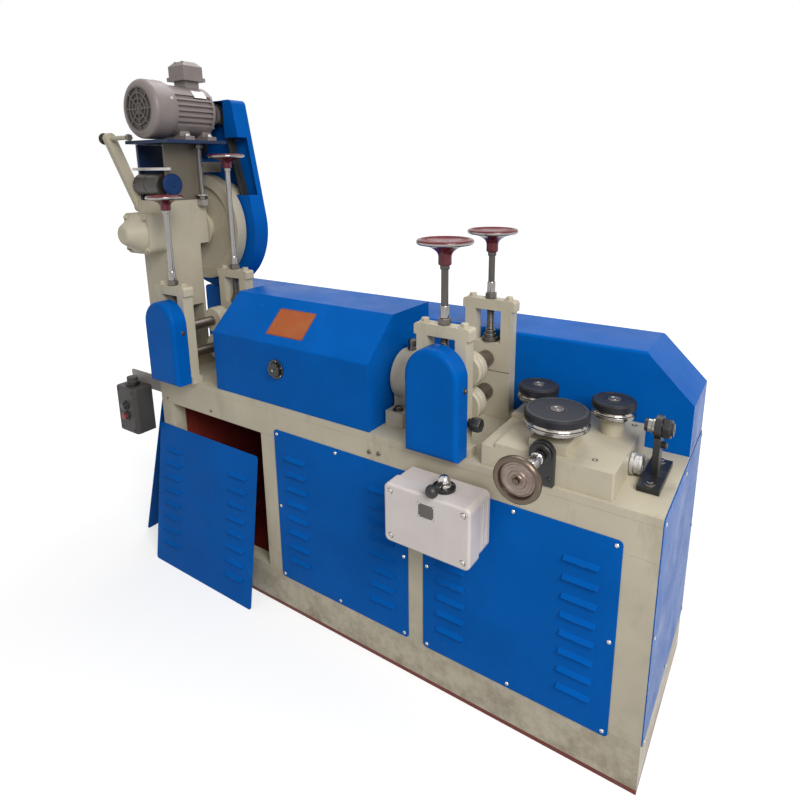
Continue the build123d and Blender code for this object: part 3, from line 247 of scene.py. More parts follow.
def bare_metal(name, colour, rough, stretch=(1, 1, 1), scale=90.0, stain=(0.1, 0.07, 0.05),
               stain_level=0.66):
    """Machined or polished metal with tool marks and a few dark stains."""
    mat, tree, shader = new_material(name)
    marks = noise(tree, scale=scale, detail=5.0, rough=0.6, stretch=stretch)
    base = mix_colour(tree, ramp(tree, marks, 0.35, 0.7), darker(colour, 0.82), colour)
    blotches = noise(tree, scale=24.0, detail=7.0, rough=0.7)
    base = mix_colour(tree, ramp(tree, blotches, stain_level, stain_level + 0.16, 0.0, 0.55), base, stain)
    brushed = ramp(tree, marks, 0.25, 0.75, rough * 0.7, rough * 1.5)
    feed(tree, shader, {"Base Color": base, "Metallic": 1.0, "Roughness": brushed})
    bump(tree, shader, marks, 0.08, 0.0003)
    return mat


def moulded(name, colour, rough, grain=420.0, strength=0.12, dust=(0.3, 0.27, 0.22), dust_level=0.6):
    """Plastic, rubber or black oxide: fine grain with a little dust."""
    mat, tree, shader = new_material(name)
    cloud = ramp(tree, noise(tree, scale=9.0, detail=4.0), 0.3, 0.7)
    base = mix_colour(tree, cloud, darker(colour, 0.88), colour)
    dusty = noise(tree, scale=17.0, detail=8.0, rough=0.7)
    base = mix_colour(tree, ramp(tree, dusty, dust_level, dust_level + 0.2, 0.0, 0.25), base, dust)
    matt = ramp(tree, cloud, 0.0, 1.0, rough * 0.85, rough * 1.2)
    feed(tree, shader, {"Base Color": base, "Roughness": matt})
    rounded = edge_mask(tree, ROUND_SMALL)[1]
    bump(tree, shader, noise(tree, scale=grain, detail=2.0), strength, 0.0003, rounded)
    return mat


def part_metal(name, mask, paint_colour, paint_rough, metal_colour, metal_rough):
    """Painted where the mask is 1, bare metal elsewhere."""
    mat, tree, shader = new_material(name)
    where = mask(tree)
    marks = noise(tree, scale=70.0, detail=5.0, rough=0.6)
    shade = ramp(tree, marks, 0.3, 0.7)
    painted = mix_colour(tree, shade, darker(paint_colour, 0.85), paint_colour)
    metal = mix_colour(tree, shade, darker(metal_colour, 0.8), metal_colour)
    base = mix_colour(tree, where, metal, painted)
    stains = noise(tree, scale=20.0, detail=7.0, rough=0.7)
    base = mix_colour(tree, ramp(tree, stains, 0.66, 0.84, 0.0, 0.4), base, (0.1, 0.08, 0.06))
    feed(tree, shader, {
        "Base Color": base, "Metallic": ramp(tree, where, 0.0, 1.0, 1.0, 0.0), "Specular IOR Level": 0.25,
        "Roughness": ramp(tree, where, 0.0, 1.0, metal_rough, paint_rough),
    })
    rounded = edge_mask(tree, ROUND_SMALL)[1]
    bump(tree, shader, marks, 0.06, 0.0003, rounded)
    return mat


# masks that give one solid more than one colour

FOOT_STRIP = 0.014
BROWN_TOP = 0.3
COWL_SHADE_R = 0.078
COWL_FACE = 0.01
GRILLE_DEPTH = 0.0035
ROLL_FRONT, ROLL_REAR = 0.0235, 0.0225
ROLLER_STEP = 0.0015
END_SHEET = 0.014
INNER_STEP = 0.002


def foot_strip(tree):
    """The lowest edge of the cabinet shows its primer."""
    return below(tree, coord(tree, "Z"), FOOT_STRIP)


def low_brown_patches(tree):
    """Brown patches, darker towards the floor, that thin out above it."""
    height = ramp(tree, coord(tree, "Z"), BROWN_TOP, 0.0, 0.0, 0.75)
    return all_of(tree, height, ramp(tree, noise(tree, scale=16.0, detail=8.0, rough=0.72), 0.42, 0.66))


def inside_cabinet(tree):
    """Faces that look into the cabinet."""
    coords = object_coords(tree)
    x, y, z = (axis_of(tree, coords, axis) for axis in "XYZ")
    return all_of(
        tree,
        above(tree, x, LEFT + END_SHEET), below(tree, x, RIGHT - END_SHEET),
        above(tree, y, FRONT + POST_D - INNER_STEP), below(tree, y, BACK - POST_D + INNER_STEP),
        below(tree, z, BED_LOW + INNER_STEP),
    )


def faces_front(tree):
    """Faces turned to the front."""
    return ramp(tree, axis_of(tree, true_normal(tree), "Y"), -0.4, -0.6)


def right_cheek(tree):
    """The right one of the two cheeks under the motor, whose cream face is painted in shade."""
    low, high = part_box("motor_cheeks")
    return above(tree, coord(tree, "X"), mid(low.x, high.x))


def shaded_cowl_face(tree):
    """The round front of the fan cowl, painted darker as painted shade."""
    coords = object_coords(tree)
    flat = add(tree, "VectorMath", {0: coords, 1: (1, 0, 1)}, "MULTIPLY").outputs["Vector"]
    reach = add(tree, "VectorMath", {0: flat, 1: (MOTOR_X, 0, MOTOR_Z)}, "DISTANCE")
    near = below(tree, reach.outputs["Value"], COWL_SHADE_R, 0.004)
    return all_of(tree, near, below(tree, axis_of(tree, coords, "Y"), motor_low.y + COWL_FACE))


def grille_shade(tree):
    """The ground between the bars of the cowl's grille, painted dark as painted shade in the recess."""
    deep = above(tree, coord(tree, "Y"), motor_low.y + GRILLE_DEPTH, 0.0004)
    return all_of(tree, shaded_cowl_face(tree), deep)


def roll_face(tree):
    """The rolls between their shafts."""
    y = coord(tree, "Y")
    return all_of(tree, above(tree, y, WIRE_Y - ROLL_FRONT), below(tree, y, WIRE_Y + ROLL_REAR))


def roller_top(tree):
    """The upper part of an entry roller."""
    return above(tree, coord(tree, "Z"), WIRE_Z + ROLLER_STEP)


# materials

CREAM = (0.54, 0.485, 0.365)
BLUE = (0.0005, 0.108, 0.445)
NAVY = (0.006, 0.022, 0.075)
OXIDE = (0.17, 0.03, 0.02)
FOOT_BROWN = (0.2, 0.15, 0.1)
# painted shade: the right cheek's cream, darkened as it lies in shade
CHEEK_SHADED_CREAM = (0.15, 0.125, 0.09)
# painted shade: the cowl's round front, darker than the motor's own grey
COWL_SHADE_GREY = (0.098, 0.078, 0.071)
# painted shade: deep between the grille's bars
GRILLE_SHADE_GREY = (0.055, 0.045, 0.041)
OILY_DIRT = (0.05, 0.04, 0.035)
CREAM_LOOK = dict(dirt_level=0.56, specular=0.28)
BLUE_LOOK = dict(dirt=(0.01, 0.07, 0.2), dirt_level=0.68, chip=(0.07, 0.22, 0.42),
                 specular=0.035, peel=0.07, scuff=(0.055, 0.2, 0.5))

cream = paint("cream_enamel", CREAM, 0.4, **CREAM_LOOK)
cream_frame = paint("cream_frame", CREAM, 0.4, **CREAM_LOOK,
                    others=((FOOT_BROWN, low_brown_patches), (OXIDE, inside_cabinet), (OXIDE, foot_strip)))
blue = paint("blue_enamel", BLUE, 0.3, **BLUE_LOOK)
blue_lined = paint("blue_lined", BLUE, 0.3, **BLUE_LOOK, others=((OXIDE, faces_front),))
navy = paint("navy_enamel", NAVY, 0.42, dirt=OILY_DIRT, dirt_level=0.55, specular=0.3)
# painted shade: a darkened copy of the blue enamel, for the tension roller's end in shade
shaded_blue = paint("shaded_blue_enamel", (0.005, 0.034, 0.13), 0.4, dirt=(0.02, 0.02, 0.03), specular=0.2)
# painted shade on the cheeks: near-black navy for the shaded hollow on the left, darkened cream on the
# right
cheek_shade_paint = paint("cheek_shaded_enamel", NAVY, 0.45, dirt=OILY_DIRT, dirt_level=0.56,
                    others=((CHEEK_SHADED_CREAM, right_cheek),))
grey = paint("grey_enamel", (0.33, 0.295, 0.275), 0.44, dirt=(0.12, 0.1, 0.08))
# the motor's enamel carries painted shade: darker on the cowl's round front, darker still between the
# grille's bars
motor_grey = paint("motor_enamel", (0.262, 0.218, 0.204), 0.42, shade=0.74,
                   dirt=(0.1, 0.078, 0.068), dirt_level=0.54,
                   others=((COWL_SHADE_GREY, shaded_cowl_face), (GRILLE_SHADE_GREY, grille_shade)))
starter_grey = paint("starter_enamel", (0.07, 0.066, 0.062), 0.42,
                     dirt=(0.04, 0.036, 0.032), specular=0.18)
maroon = paint("maroon_enamel", (0.13, 0.008, 0.015), 0.26, dirt=(0.05, 0.015, 0.015),
               coat=0.15, specular=0.3, peel=0.05)
black = moulded("black_oxide", (0.012, 0.012, 0.012), 0.36)
# partly painted shade: near-black brown for the shaded hollow between the cheeks, with real dust on it
shaded_brown_black = moulded("shade_and_dust_black", (0.024, 0.018, 0.014), 0.34, dust=(0.12, 0.085, 0.06),
                      dust_level=0.52)
gloss_black = moulded("black_ball", (0.01, 0.01, 0.01), 0.16, strength=0.03)
rubber = moulded("belt_rubber", (0.018, 0.018, 0.018), 0.72, grain=180.0)
white = moulded("box_white", (0.68, 0.615, 0.58), 0.38, dust=(0.46, 0.39, 0.34), dust_level=0.56)
red_plastic = moulded("button_red", (0.24, 0.014, 0.018), 0.38)
plate_bare = moulded("bare_plate", (0.105, 0.09, 0.08), 0.42, grain=240.0,
                     dust=(0.12, 0.1, 0.09), dust_level=0.5)
orange = moulded("orange_sticker", (0.36, 0.076, 0.008), 0.4, grain=150.0,
                 dust=(0.4, 0.17, 0.04), dust_level=0.46)
orange_edge = moulded("sticker_border", (0.26, 0.04, 0.008), 0.42, grain=150.0)
alloy = bare_metal("bare_alloy", (0.62, 0.6, 0.58), 0.42)
steel = bare_metal("ground_steel", (0.5, 0.48, 0.46), 0.3, stretch=(1, 1, 6))
chrome = bare_metal("bright_steel", (0.6, 0.58, 0.56), 0.14, scale=40.0, stain_level=0.7)
warm_chrome = bare_metal("warm_chrome", (0.15, 0.115, 0.088), 0.24, scale=34.0, stain_level=0.58)
wheel_metal = bare_metal("wheel_face", (0.3, 0.238, 0.205), 0.38, scale=120.0,
                         stain=(0.14, 0.09, 0.07), stain_level=0.46)
hub_metal = bare_metal("roller_hub", (0.22, 0.2, 0.19), 0.36, scale=60.0)
red_oxide = paint("red_oxide", (0.27, 0.03, 0.02), 0.62, dirt=(0.03, 0.014, 0.01),
                  dirt_level=0.48, specular=0.25)
dark_steel = bare_metal("oiled_steel", (0.16, 0.145, 0.13), 0.38)
spindle = bare_metal("spindle_steel", (0.34, 0.325, 0.31), 0.18, stretch=(1, 1, 0.2), scale=60.0)
rod_steel = bare_metal("rod_steel", (0.105, 0.097, 0.092), 0.2, stretch=(1, 1, 0.2), scale=60.0)
roller_paint = part_metal("roller_finish", roller_top, paint_colour=(0.016, 0.016, 0.021),
                          paint_rough=0.42, metal_colour=(0.5, 0.455, 0.415), metal_rough=0.18)
roll_paint = part_metal("roll_finish", roll_face, paint_colour=(0.53, 0.48, 0.36),
                        paint_rough=0.42, metal_colour=(0.26, 0.225, 0.19), metal_rough=0.42)

LOOKS = {
    "cream_paint": cream, "blue_paint": blue, "grey_paint": grey, "steel": steel, "maroon_wheel": maroon,
    "chrome": chrome, "black_paint": black, "white_plastic": white, "rubber": rubber,
}
OWN_LOOKS = {
    "bed_plate": cream_frame, "cabinet_posts": cream_frame, "cabinet_long_rails": cream_frame,
    "cabinet_end_rails": cream_frame, "panels_rear": blue_lined, "motor": motor_grey,
    "motor_plate": navy, "motor_cheeks": cheek_shade_paint, "starter_box": starter_grey,
    "roller_front": roller_paint, "roller_rear_left": roller_paint, "roller_rear_right": roller_paint,
    "feed_left_roll_upper": roll_paint, "feed_left_roll_lower": roll_paint,
    "feed_right_roll_upper": roll_paint, "feed_right_roll_lower": roll_paint, "cutter": dark_steel,
}
for part in frame["record"]["subparts"]:
    slots = frame["nodes"][part["node"]].data.materials
    slots.clear()
    slots.append(OWN_LOOKS.get(part["node"], LOOKS[part["material_slot"]]))

# making pieces

SHARP_ANGLE = math.radians(32)
SINK = 0.0004
CORNERS = (45, 135, 225, 315)


def piece(name, bm, material, body=FIXED):
    """A finished mesh that rides on a body."""
    bmesh.ops.recalc_face_normals(bm, faces=bm.faces)
    mesh = bpy.data.meshes.new(name)
    bm.to_mesh(mesh)
    bm.free()
    for polygon in mesh.polygons:
        polygon.use_smooth = True
    mesh.set_sharp_from_angle(angle=SHARP_ANGLE)
    mesh.materials.append(material)
    obj = bpy.data.objects.new(name, mesh)
    bpy.context.scene.collection.objects.link(obj)
    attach(obj, body)
    return obj


def around(radius, degrees):
    """Both offsets from the middle of a circle at each of some angles."""
    angles = [math.radians(d) for d in degrees]
    return [(radius * math.cos(a), radius * math.sin(a)) for a in angles]


def turned(bm, place, axis, profile, segments=40, closed=False, shape=None):
    """Spins (radius, height) points round an axis; shape scales the radius by the angle."""
    axis = Vector(axis).normalized()
    side = axis.orthogonal().normalized()
    other = axis.cross(side)
    rings = []
    for radius, height in profile:
        base = Vector(place) + axis * height
        if radius == 0:
            rings.append([bm.verts.new(base)])
            continue
        ring_verts = []
        for i in range(segments):
            angle = 2 * math.pi * i / segments
            reach = radius * (shape(angle) if shape else 1.0)
            out = math.cos(angle) * side + math.sin(angle) * other
            ring_verts.append(bm.verts.new(base + reach * out))
        rings.append(ring_verts)
    pairs = list(zip(rings, rings[1:]))
    if closed:
        pairs.append((rings[-1], rings[0]))
    for low, high in pairs:
        for i in range(segments):
            j = (i + 1) % segments
            if len(low) == 1:
                bm.faces.new((low[0], high[j], high[i]))
            elif len(high) == 1:
                bm.faces.new((low[i], low[j], high[0]))
            else:
                bm.faces.new((low[i], low[j], high[j], high[i]))


def turned_piece(name, material, place, axis, profile, segments, body=FIXED, closed=False):
    """A piece of one turned form."""
    bm = bmesh.new()
    turned(bm, place, axis, profile, segments, closed)
    return piece(name, bm, material, body)


def block(bm, low, high, bevel):
    """A box with rounded edges."""
    made = bmesh.ops.create_cube(bm, size=1.0)
    low, high = Vector(low), Vector(high)
    middle, extent = (low + high) / 2, high - low
    for vert in made["verts"]:
        vert.co = Vector([m + c * e for m, c, e in zip(middle, vert.co, extent)])
    edges = list(dict.fromkeys(edge for vert in made["verts"] for edge in vert.link_edges))
    bmesh.ops.bevel(bm, geom=edges, offset=bevel, segments=2, affect="EDGES", profile=0.5)


def bolt(bm, place, axis, size, washer=1.4):
    """Hexagon head on a washer; size is half the width across its corners."""
    base = 0.0
    if washer:
        base = 0.22 * size
        turned(bm, place, axis, [
            (0, -SINK), (washer * size, -SINK), (washer * size, base * 0.7),
            (washer * size - base * 0.4, base), (0, base),
        ], 24)
    turned(bm, place, axis, [
        (0, base - SINK), (size, base - SINK), (size, base + 0.62 * size),
        (0.86 * size, base + 0.78 * size), (0, base + 0.78 * size),
    ], 6)


def screw(bm, place, axis, size):
    """Domed screw with a sunk drive."""
    turned(bm, place, axis, [
        (0, -SINK), (size, -SINK), (size, 0.25 * size), (0.8 * size, 0.5 * size),
        (0.46 * size, 0.6 * size), (0.4 * size, 0.26 * size), (0, 0.26 * size),
    ], 16)


def threaded(radius, depth, start, end, pitch):
    """Profile of a thread between two heights, closed at both ends."""
    turns = max(1, round((end - start) / pitch))
    step = (end - start) / turns
    points = [(0, start), (radius - depth, start)]
    for i in range(turns):
        points.append((radius, start + (i + 0.5) * step))
        points.append((radius - depth, start + (i + 1) * step))
    return points + [(0, end)]


def lobes(count, depth):
    """Shape of a hand knob."""
    return lambda angle: 1.0 + depth * math.cos(count * angle)


def ring(inner, outer, low, high, edge=0.0006):
    """Profile of a flat ring; spun as a closed loop."""
    return [(inner, low), (outer - edge, low), (outer, low + edge), (outer, high - edge),
            (outer - edge, high), (inner + edge, high), (inner, high - edge)]


# screws of the covers

COVER_SCREW = 0.0055
EDGE_IN = 0.014
REAR_SCREWS = 7
REAR_END_IN = 0.05
REAR_SCREW_H = 0.022
BELT_EDGE_IN = 0.016


def along(low, high):
    """Places of the screws on one edge: near both ends and in the middle."""
    return low + EDGE_IN, mid(low, high), high - EDGE_IN


middle_low, middle_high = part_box("panel_front_middle")
right_low, right_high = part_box("panel_front_right")
rear_low, rear_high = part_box("panels_rear")
end_low, end_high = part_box("panel_right_end")
bay_gap = right_low.x - middle_high.x
spans = [(middle_low.x, middle_high.x), (right_low.x, right_high.x)]
bottom, half_way, top = along(middle_low.z, middle_high.z)
cover_screws = bmesh.new()
for low_x, high_x in spans:
    for x, z in product(along(low_x, high_x), (bottom, top)):
        screw(cover_screws, (x, FRONT - SHEET_T, z), -Y, COVER_SCREW)
    for x in (low_x + EDGE_IN, high_x - EDGE_IN):
        screw(cover_screws, (x, FRONT - SHEET_T, half_way), -Y, COVER_SCREW)
for low_x, high_x in spans + [(rear_low.x, middle_low.x - bay_gap)]:
    for x, z in product(along(low_x, high_x), (rear_low.z + EDGE_IN, rear_high.z - EDGE_IN)):
        screw(cover_screws, (x, BACK + SHEET_T, z), Y, COVER_SCREW)
end_middle = (mid(end_low.y, end_high.y), mid(end_low.z, end_high.z))
for y, z in product(along(end_low.y, end_high.y), along(end_low.z, end_high.z)):
    if (y, z) != end_middle:
        screw(cover_screws, (end_high.x, y, z), X, COVER_SCREW)
rear_cover_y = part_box("rear_cover")[1].y
rear_run = RIGHT - LEFT - 2 * REAR_END_IN
for i in range(REAR_SCREWS):
    x = LEFT + REAR_END_IN + i * rear_run / (REAR_SCREWS - 1)
    screw(cover_screws, (x, rear_cover_y, BED_TOP + REAR_SCREW_H), Y, COVER_SCREW)
belt_low, belt_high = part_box("belt_case")
belt_r = (belt_high.x - belt_low.x) / 2
for dx, dz in around(belt_r - BELT_EDGE_IN, range(190, 351, 32)):
    x = mid(belt_low.x, belt_high.x) + dx
    screw(cover_screws, (x, belt_high.y, belt_low.z + belt_r + dz), Y, COVER_SCREW)
piece("cover_screws", cover_screws, chrome)

# dark fasteners: rail screws, the column's toe bolts, the drum's bearings, plugs in the roller block

RAIL_SCREWS = ((-0.7064, 0.6705, 0.005), (-0.4539, 0.675, 0.005),
               (0.261, 0.711, 0.007), (0.2955, 0.714, 0.007))
TOE_TOP = BED_TOP + 0.04
TOE_BOLT_IN = 0.02
TOE_BOLTS_Y = (-0.1, 0.002)
FOOT_TOP = BED_TOP + 0.046
FOOT_BOLT_OUT = 0.08
OIL_CUP_DROP = 0.024
OIL_CUP = [(0, 0), (0.014, 0), (0.014, 0.008), (0.0115, 0.01), (0.0115, 0.021), (0.013, 0.023),
           (0.013, 0.031), (0.009, 0.035), (0, 0.036)]
BEARING_FACE_IN = 0.008
BEARING_CIRCLE = 0.056
BLOCK_TOP = BED_TOP + 0.069
BLOCK_PLUGS = ((0.8966, -0.1549), (0.93, 0.098), (0.64, 0.098))
PLUG = [(0, -SINK), (0.0072, -SINK), (0.0072, 0.0006), (0.0048, 0.001), (0.004, -0.0002), (0, -0.0002)]

dark_bolts = bmesh.new()
for x, z, head in RAIL_SCREWS:
    screw(dark_bolts, (x, FRONT, z), -Y, head)
column_low, column_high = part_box("press_column")
for y in TOE_BOLTS_Y:
    bolt(dark_bolts, (column_high.x - TOE_BOLT_IN, y, TOE_TOP), Z, 0.011)
for side in ("left", "right"):
    low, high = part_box("drum_bearing_" + side)
    middle = (low + high) / 2
    for y in (WIRE_Y - FOOT_BOLT_OUT, WIRE_Y + FOOT_BOLT_OUT):
        bolt(dark_bolts, (middle.x, y, FOOT_TOP), Z, 0.012)
    turned(dark_bolts, (middle.x, WIRE_Y, high.z - OIL_CUP_DROP), Z, OIL_CUP, 20)
    for face, axis in ((high.x - BEARING_FACE_IN, X), (low.x + BEARING_FACE_IN, -X)):
        turned(dark_bolts, (face, WIRE_Y, WIRE_Z), axis, ring(0.0262, 0.034, -SINK, 0.005), closed=True)
        for dy, dz in around(BEARING_CIRCLE, CORNERS):
            screw(dark_bolts, (face, WIRE_Y + dy, WIRE_Z + dz), axis, 0.006)
for x, y in BLOCK_PLUGS:
    turned(dark_bolts, (x, y, BLOCK_TOP), Z, PLUG, 18)
piece("dark_bolts", dark_bolts, dark_steel)

# red primed sheets that close the open left bay at its end and its foot

LINING_T = 0.0025
LINING_EDGE = 0.0008
FLANGE = 0.018
POST_LEFT_W = 0.07
RAIL_LOW_H = 0.144
RAIL_TOP_H = 0.092
TRAY_LOW = 0.02
TRAY_RIGHT_IN = 0.06
CONTACT = 0.0003
bay_x0 = LEFT + POST_LEFT_W - FLANGE - 0.0005
bay_x1 = middle_low.x - TRAY_RIGHT_IN
bay_y0 = FRONT + POST_D - CONTACT
bay_y1 = BACK - POST_D + CONTACT


def lining(name, low, high, thin):
    """A sheet with a turned edge all round; thin is the axis it is thin along."""
    bm = bmesh.new()
    low, high = Vector(low), Vector(high)
    for axis in range(3):
        side_high = high.copy()
        side_high[axis] = low[axis] + LINING_T
        block(bm, low, side_high, LINING_EDGE)
        if axis != thin:
            side_low = low.copy()
            side_low[axis] = high[axis] - LINING_T
            block(bm, side_low, high, LINING_EDGE)
    piece(name, bm, red_oxide)


lining("bay_end_lining", (bay_x0, bay_y0, RAIL_LOW_H - CONTACT),
       (bay_x0 + FLANGE, bay_y1, BED_LOW - RAIL_TOP_H + CONTACT), 0)
lining("bay_tray", (LEFT + POST_LEFT_W - CONTACT, bay_y0, TRAY_LOW),
       (bay_x1, bay_y1, TRAY_LOW + FLANGE), 2)

# roll feeds: cap bolts, bearing pads, pressure screws with dished wheels, guard bolts and a clamp knob

CAP_BOLT_X = 0.06
WHEEL_R = {("right", "front"): 0.074, ("right", "rear"): 0.074,
           ("left", "front"): 0.062, ("left", "rear"): 0.067}
HUB_DROP = {"right": 0.06, "left": 0.044}
ROD_METAL = {"right": rod_steel, "left": spindle}
ROD_R = 0.0098
RIM_HALF = 0.007
SILL = BED_TOP + 0.239
PAD = [(0, 0.0002), (0.0235, 0.0002), (0.0245, 0.0012), (0.0245, 0.011), (0.023, 0.0125), (0.0185, 0.013),
       (0.0185, 0.022), (0.017, 0.024), (0.015, 0.0245), (0.015, 0.0335), (0.0135, 0.0355), (0, 0.0355)]
WHEEL_NUT = [(0, -0.012), (0.0125, -0.012), (0.0125, -0.003), (0.011, -0.0005), (0.006, 0.0012),
             (0, 0.0014)]
SLEEVE_UP = 0.0185
GUARD_BOLT_Z = BED_TOP + 0.195
GUARD_BOLT_BACK = 0.012
CLAMP_Z = 0.861
CLAMP_IN = 0.014


def wheel_profile(radius, drop):
    """A dished handwheel: its hub from the foot up, the rim and the face back to the middle."""
    hub = [(0, -drop), (0.0165, -drop), (0.0176, 0.002 - drop), (0.0176, 0.65 * -drop),
           (0.0186, 0.55 * -drop), (0.0215, 0.46 * -drop), (0.027, 0.37 * -drop),
           (0.0355, 0.28 * -drop), (0.044, 0.21 * -drop)]
    rim = [(radius - 0.014, -0.0085), (radius - 0.007, -0.007), (radius - 0.003, -0.0056),
           (radius - 0.0006, -0.003), (radius, 0.0), (radius - 0.0008, 0.0034), (radius - 0.0034, 0.006),
           (radius - 0.007, 0.0069), (radius - 0.0106, 0.0058), (radius - 0.013, 0.003),
           (radius - 0.019, -0.001)]
    face = [(0.036, -0.0075), (0.026, -0.0095), (0.0205, -0.01), (0.0185, -0.0095), (0.0175, -0.0085),
            (0, -0.0085)]
    return hub + rim + face


def band_profile(radius):
    """The bright band that wear leaves round a handwheel's rim."""
    return [(radius - 0.0085, -0.0076), (radius - 0.0028, -0.0066), (radius + 0.0002, -0.0036),
            (radius + 0.0008, -0.0008), (radius + 0.0004, 0.0012), (radius - 0.0012, 0.0018),
            (radius - 0.003, 0.0005), (radius - 0.004, -0.002)]


cap_bolts = bmesh.new()
pads = bmesh.new()
guard_bolts = bmesh.new()
for side in ("left", "right"):
    for row in ("front", "rear"):
        low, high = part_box("feed_%s_stand_%s" % (side, row))
        middle = (low + high) / 2
        for x in (middle.x - CAP_BOLT_X, middle.x + CAP_BOLT_X):
            bolt(cap_bolts, (x, middle.y, high.z), Z, 0.0115)
        turned(pads, (middle.x, middle.y, SILL), Z, PAD, 32)
        node = "feed_%s_screw_%s" % (side, row)
        rod_low, rod_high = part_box(node)
        rim_z = rod_high.z - RIM_HALF
        hub_low = rim_z - HUB_DROP[side]
        foot = Vector((middle.x, middle.y, 0))
        wheel_place = foot + Z * rim_z
        rod = bmesh.new()
        rod_end = hub_low + 0.004
        turned(rod, foot, Z, [(0, high.z), (ROD_R, high.z), (ROD_R, rod_end), (0, rod_end)], 28)
        turned(rod, foot, Z, [
            (0, hub_low - 0.012), (0.0118, hub_low - 0.012), (0.0128, hub_low - 0.0105),
            (0.0128, hub_low - 0.0015), (0.0118, hub_low), (0, hub_low),
        ], 28)
        piece(node + "_rod", rod, ROD_METAL[side], node)
        nut = bmesh.new()
        turned(nut, foot, Z, threaded(0.0116, 0.0014, rod_low.z, high.z + 0.001, 0.0042), 20)
        turned(nut, foot, Z, [
            (0, high.z + 0.0006), (0.0165, high.z + 0.0006), (0.018, high.z + 0.002),
            (0.018, high.z + 0.0165), (0.0165, high.z + 0.0182), (0, high.z + 0.0182),
        ], 6)
        turned(nut, wheel_place, Z, WHEEL_NUT, 6)
        piece(node + "_nut", nut, dark_steel, node)
        dish = wheel_profile(WHEEL_R[side, row], HUB_DROP[side])
        wheel = turned_piece(node + "_wheel", maroon, wheel_place, Z, dish, 56, node)
        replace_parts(wheel, node)
        band = bmesh.new()
        turned(band, wheel_place, Z, band_profile(WHEEL_R[side, row]), 56, closed=True)
        sleeve = high.z + SLEEVE_UP
        turned(band, foot, Z, [
            (0, sleeve), (0.0116, sleeve), (0.0124, sleeve + 0.001), (0.0124, sleeve + 0.03),
            (0.0112, sleeve + 0.033), (0, sleeve + 0.033),
        ], 28)
        piece(node + "_band", band, spindle, node)
    guard_low, guard_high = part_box("feed_%s_guard" % side)
    guard_y = mid(guard_low.y, guard_high.y) + GUARD_BOLT_BACK
    bolt(guard_bolts, (guard_high.x, guard_y, GUARD_BOLT_Z), X, 0.006)
    bolt(guard_bolts, (guard_low.x, guard_y, GUARD_BOLT_Z), -X, 0.006)
piece("cap_bolts", cap_bolts, cream)
piece("bearing_pads", pads, dark_steel)
piece("guard_bolts", guard_bolts, dark_steel)

stand_low, stand_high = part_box("feed_right_stand_front")
clamp_place = (stand_high.x - CLAMP_IN, mid(stand_low.y, stand_high.y), CLAMP_Z)
clamp = bmesh.new()
turned(clamp, clamp_place, X, [(0, -SINK), (0.0125, -SINK), (0.0125, 0.01), (0, 0.01)], 24)
turned(clamp, clamp_place, X, [
    (0, 0.009), (0.0165, 0.009), (0.019, 0.012), (0.019, 0.032), (0.0165, 0.037), (0.009, 0.039),
    (0, 0.0392),
], 60, shape=lobes(6, 0.06))
piece("clamp_knob", clamp, black)

# hood: a plain sticker on the slope and a knob in the front

FOLD_H = 0.208
CREST_IN = 0.136
CORNER_R = 0.006
CORNER_STEPS = 4
KNOB_FLANGE = 0.033
KNOB_CIRCLE = 0.0288
hood_low, hood_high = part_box("hood")
fold = Vector((0, hood_low.y, BED_TOP + FOLD_H))
crest = Vector((0, FRONT + CREST_IN, hood_high.z))
slope = (crest - fold).normalized()
slope_out = Vector((0, -slope.z, slope.y))


def slope_plate(name, x0, x1, t0, t1, lift, thick, material):
    """A thin plate with round corners on the hood's slope, from t0 to t1 up the slope."""
    bm = bmesh.new()
    right_x, left_x = x1 - CORNER_R, x0 + CORNER_R
    high_t, low_t = t1 - CORNER_R, t0 + CORNER_R
    outline = []
    for cx, ct, start in ((right_x, high_t, 0), (left_x, high_t, 90),
                          (left_x, low_t, 180), (right_x, low_t, 270)):
        steps = [start + 90 / CORNER_STEPS * i for i in range(CORNER_STEPS + 1)]
        outline += [(cx + dx, ct + dt) for dx, dt in around(CORNER_R, steps)]
    rows = []
    for height in (lift, lift + thick):
        rows.append([bm.verts.new(X * x + fold + slope * t + slope_out * height) for x, t in outline])
    bm.faces.new(rows[0])
    bm.faces.new(rows[1])
    for i in range(len(outline)):
        j = (i + 1) % len(outline)
        bm.faces.new((rows[0][i], rows[0][j], rows[1][j], rows[1][i]))
    piece(name, bm, material)


slope_plate("sticker_border", -0.177, -0.017, 0.033, 0.137, 0.00002, 0.00045, orange_edge)
slope_plate("sticker", -0.174, -0.02, 0.036, 0.134, 0.0003, 0.0004, orange)
knob_low, knob_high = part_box("hood_knob")
knob_mid = Vector((mid(knob_low.x, knob_high.x), knob_high.y, mid(knob_low.z, knob_high.z)))
knob = bmesh.new()
turned(knob, knob_mid, -Y, [
    (0, -SINK), (KNOB_FLANGE, -SINK), (KNOB_FLANGE, 0.003), (0.0312, 0.0048), (0.012, 0.0048), (0, 0.0048),
], 56)
turned(knob, knob_mid, -Y, [
    (0, 0.004), (0.0222, 0.004), (0.0245, 0.006), (0.0245, 0.0125), (0.0222, 0.0152), (0.015, 0.016),
    (0.013, 0.0145), (0, 0.0145),
], 70, shape=lobes(7, 0.05))
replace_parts(piece("hood_hand_knob", knob, gloss_black), "hood_knob")
knob_screws = bmesh.new()
for dx, dz in around(KNOB_CIRCLE, range(20, 380, 60)):
    screw(knob_screws, knob_mid + Vector((dx, -0.0046, dz)), -Y, 0.0024)
bolt(knob_screws, knob_mid + Vector((0, -0.0143, 0)), -Y, 0.0046, washer=0)
piece("hood_knob_screws", knob_screws, spindle)

# entry rollers: hubs, rims and flanges

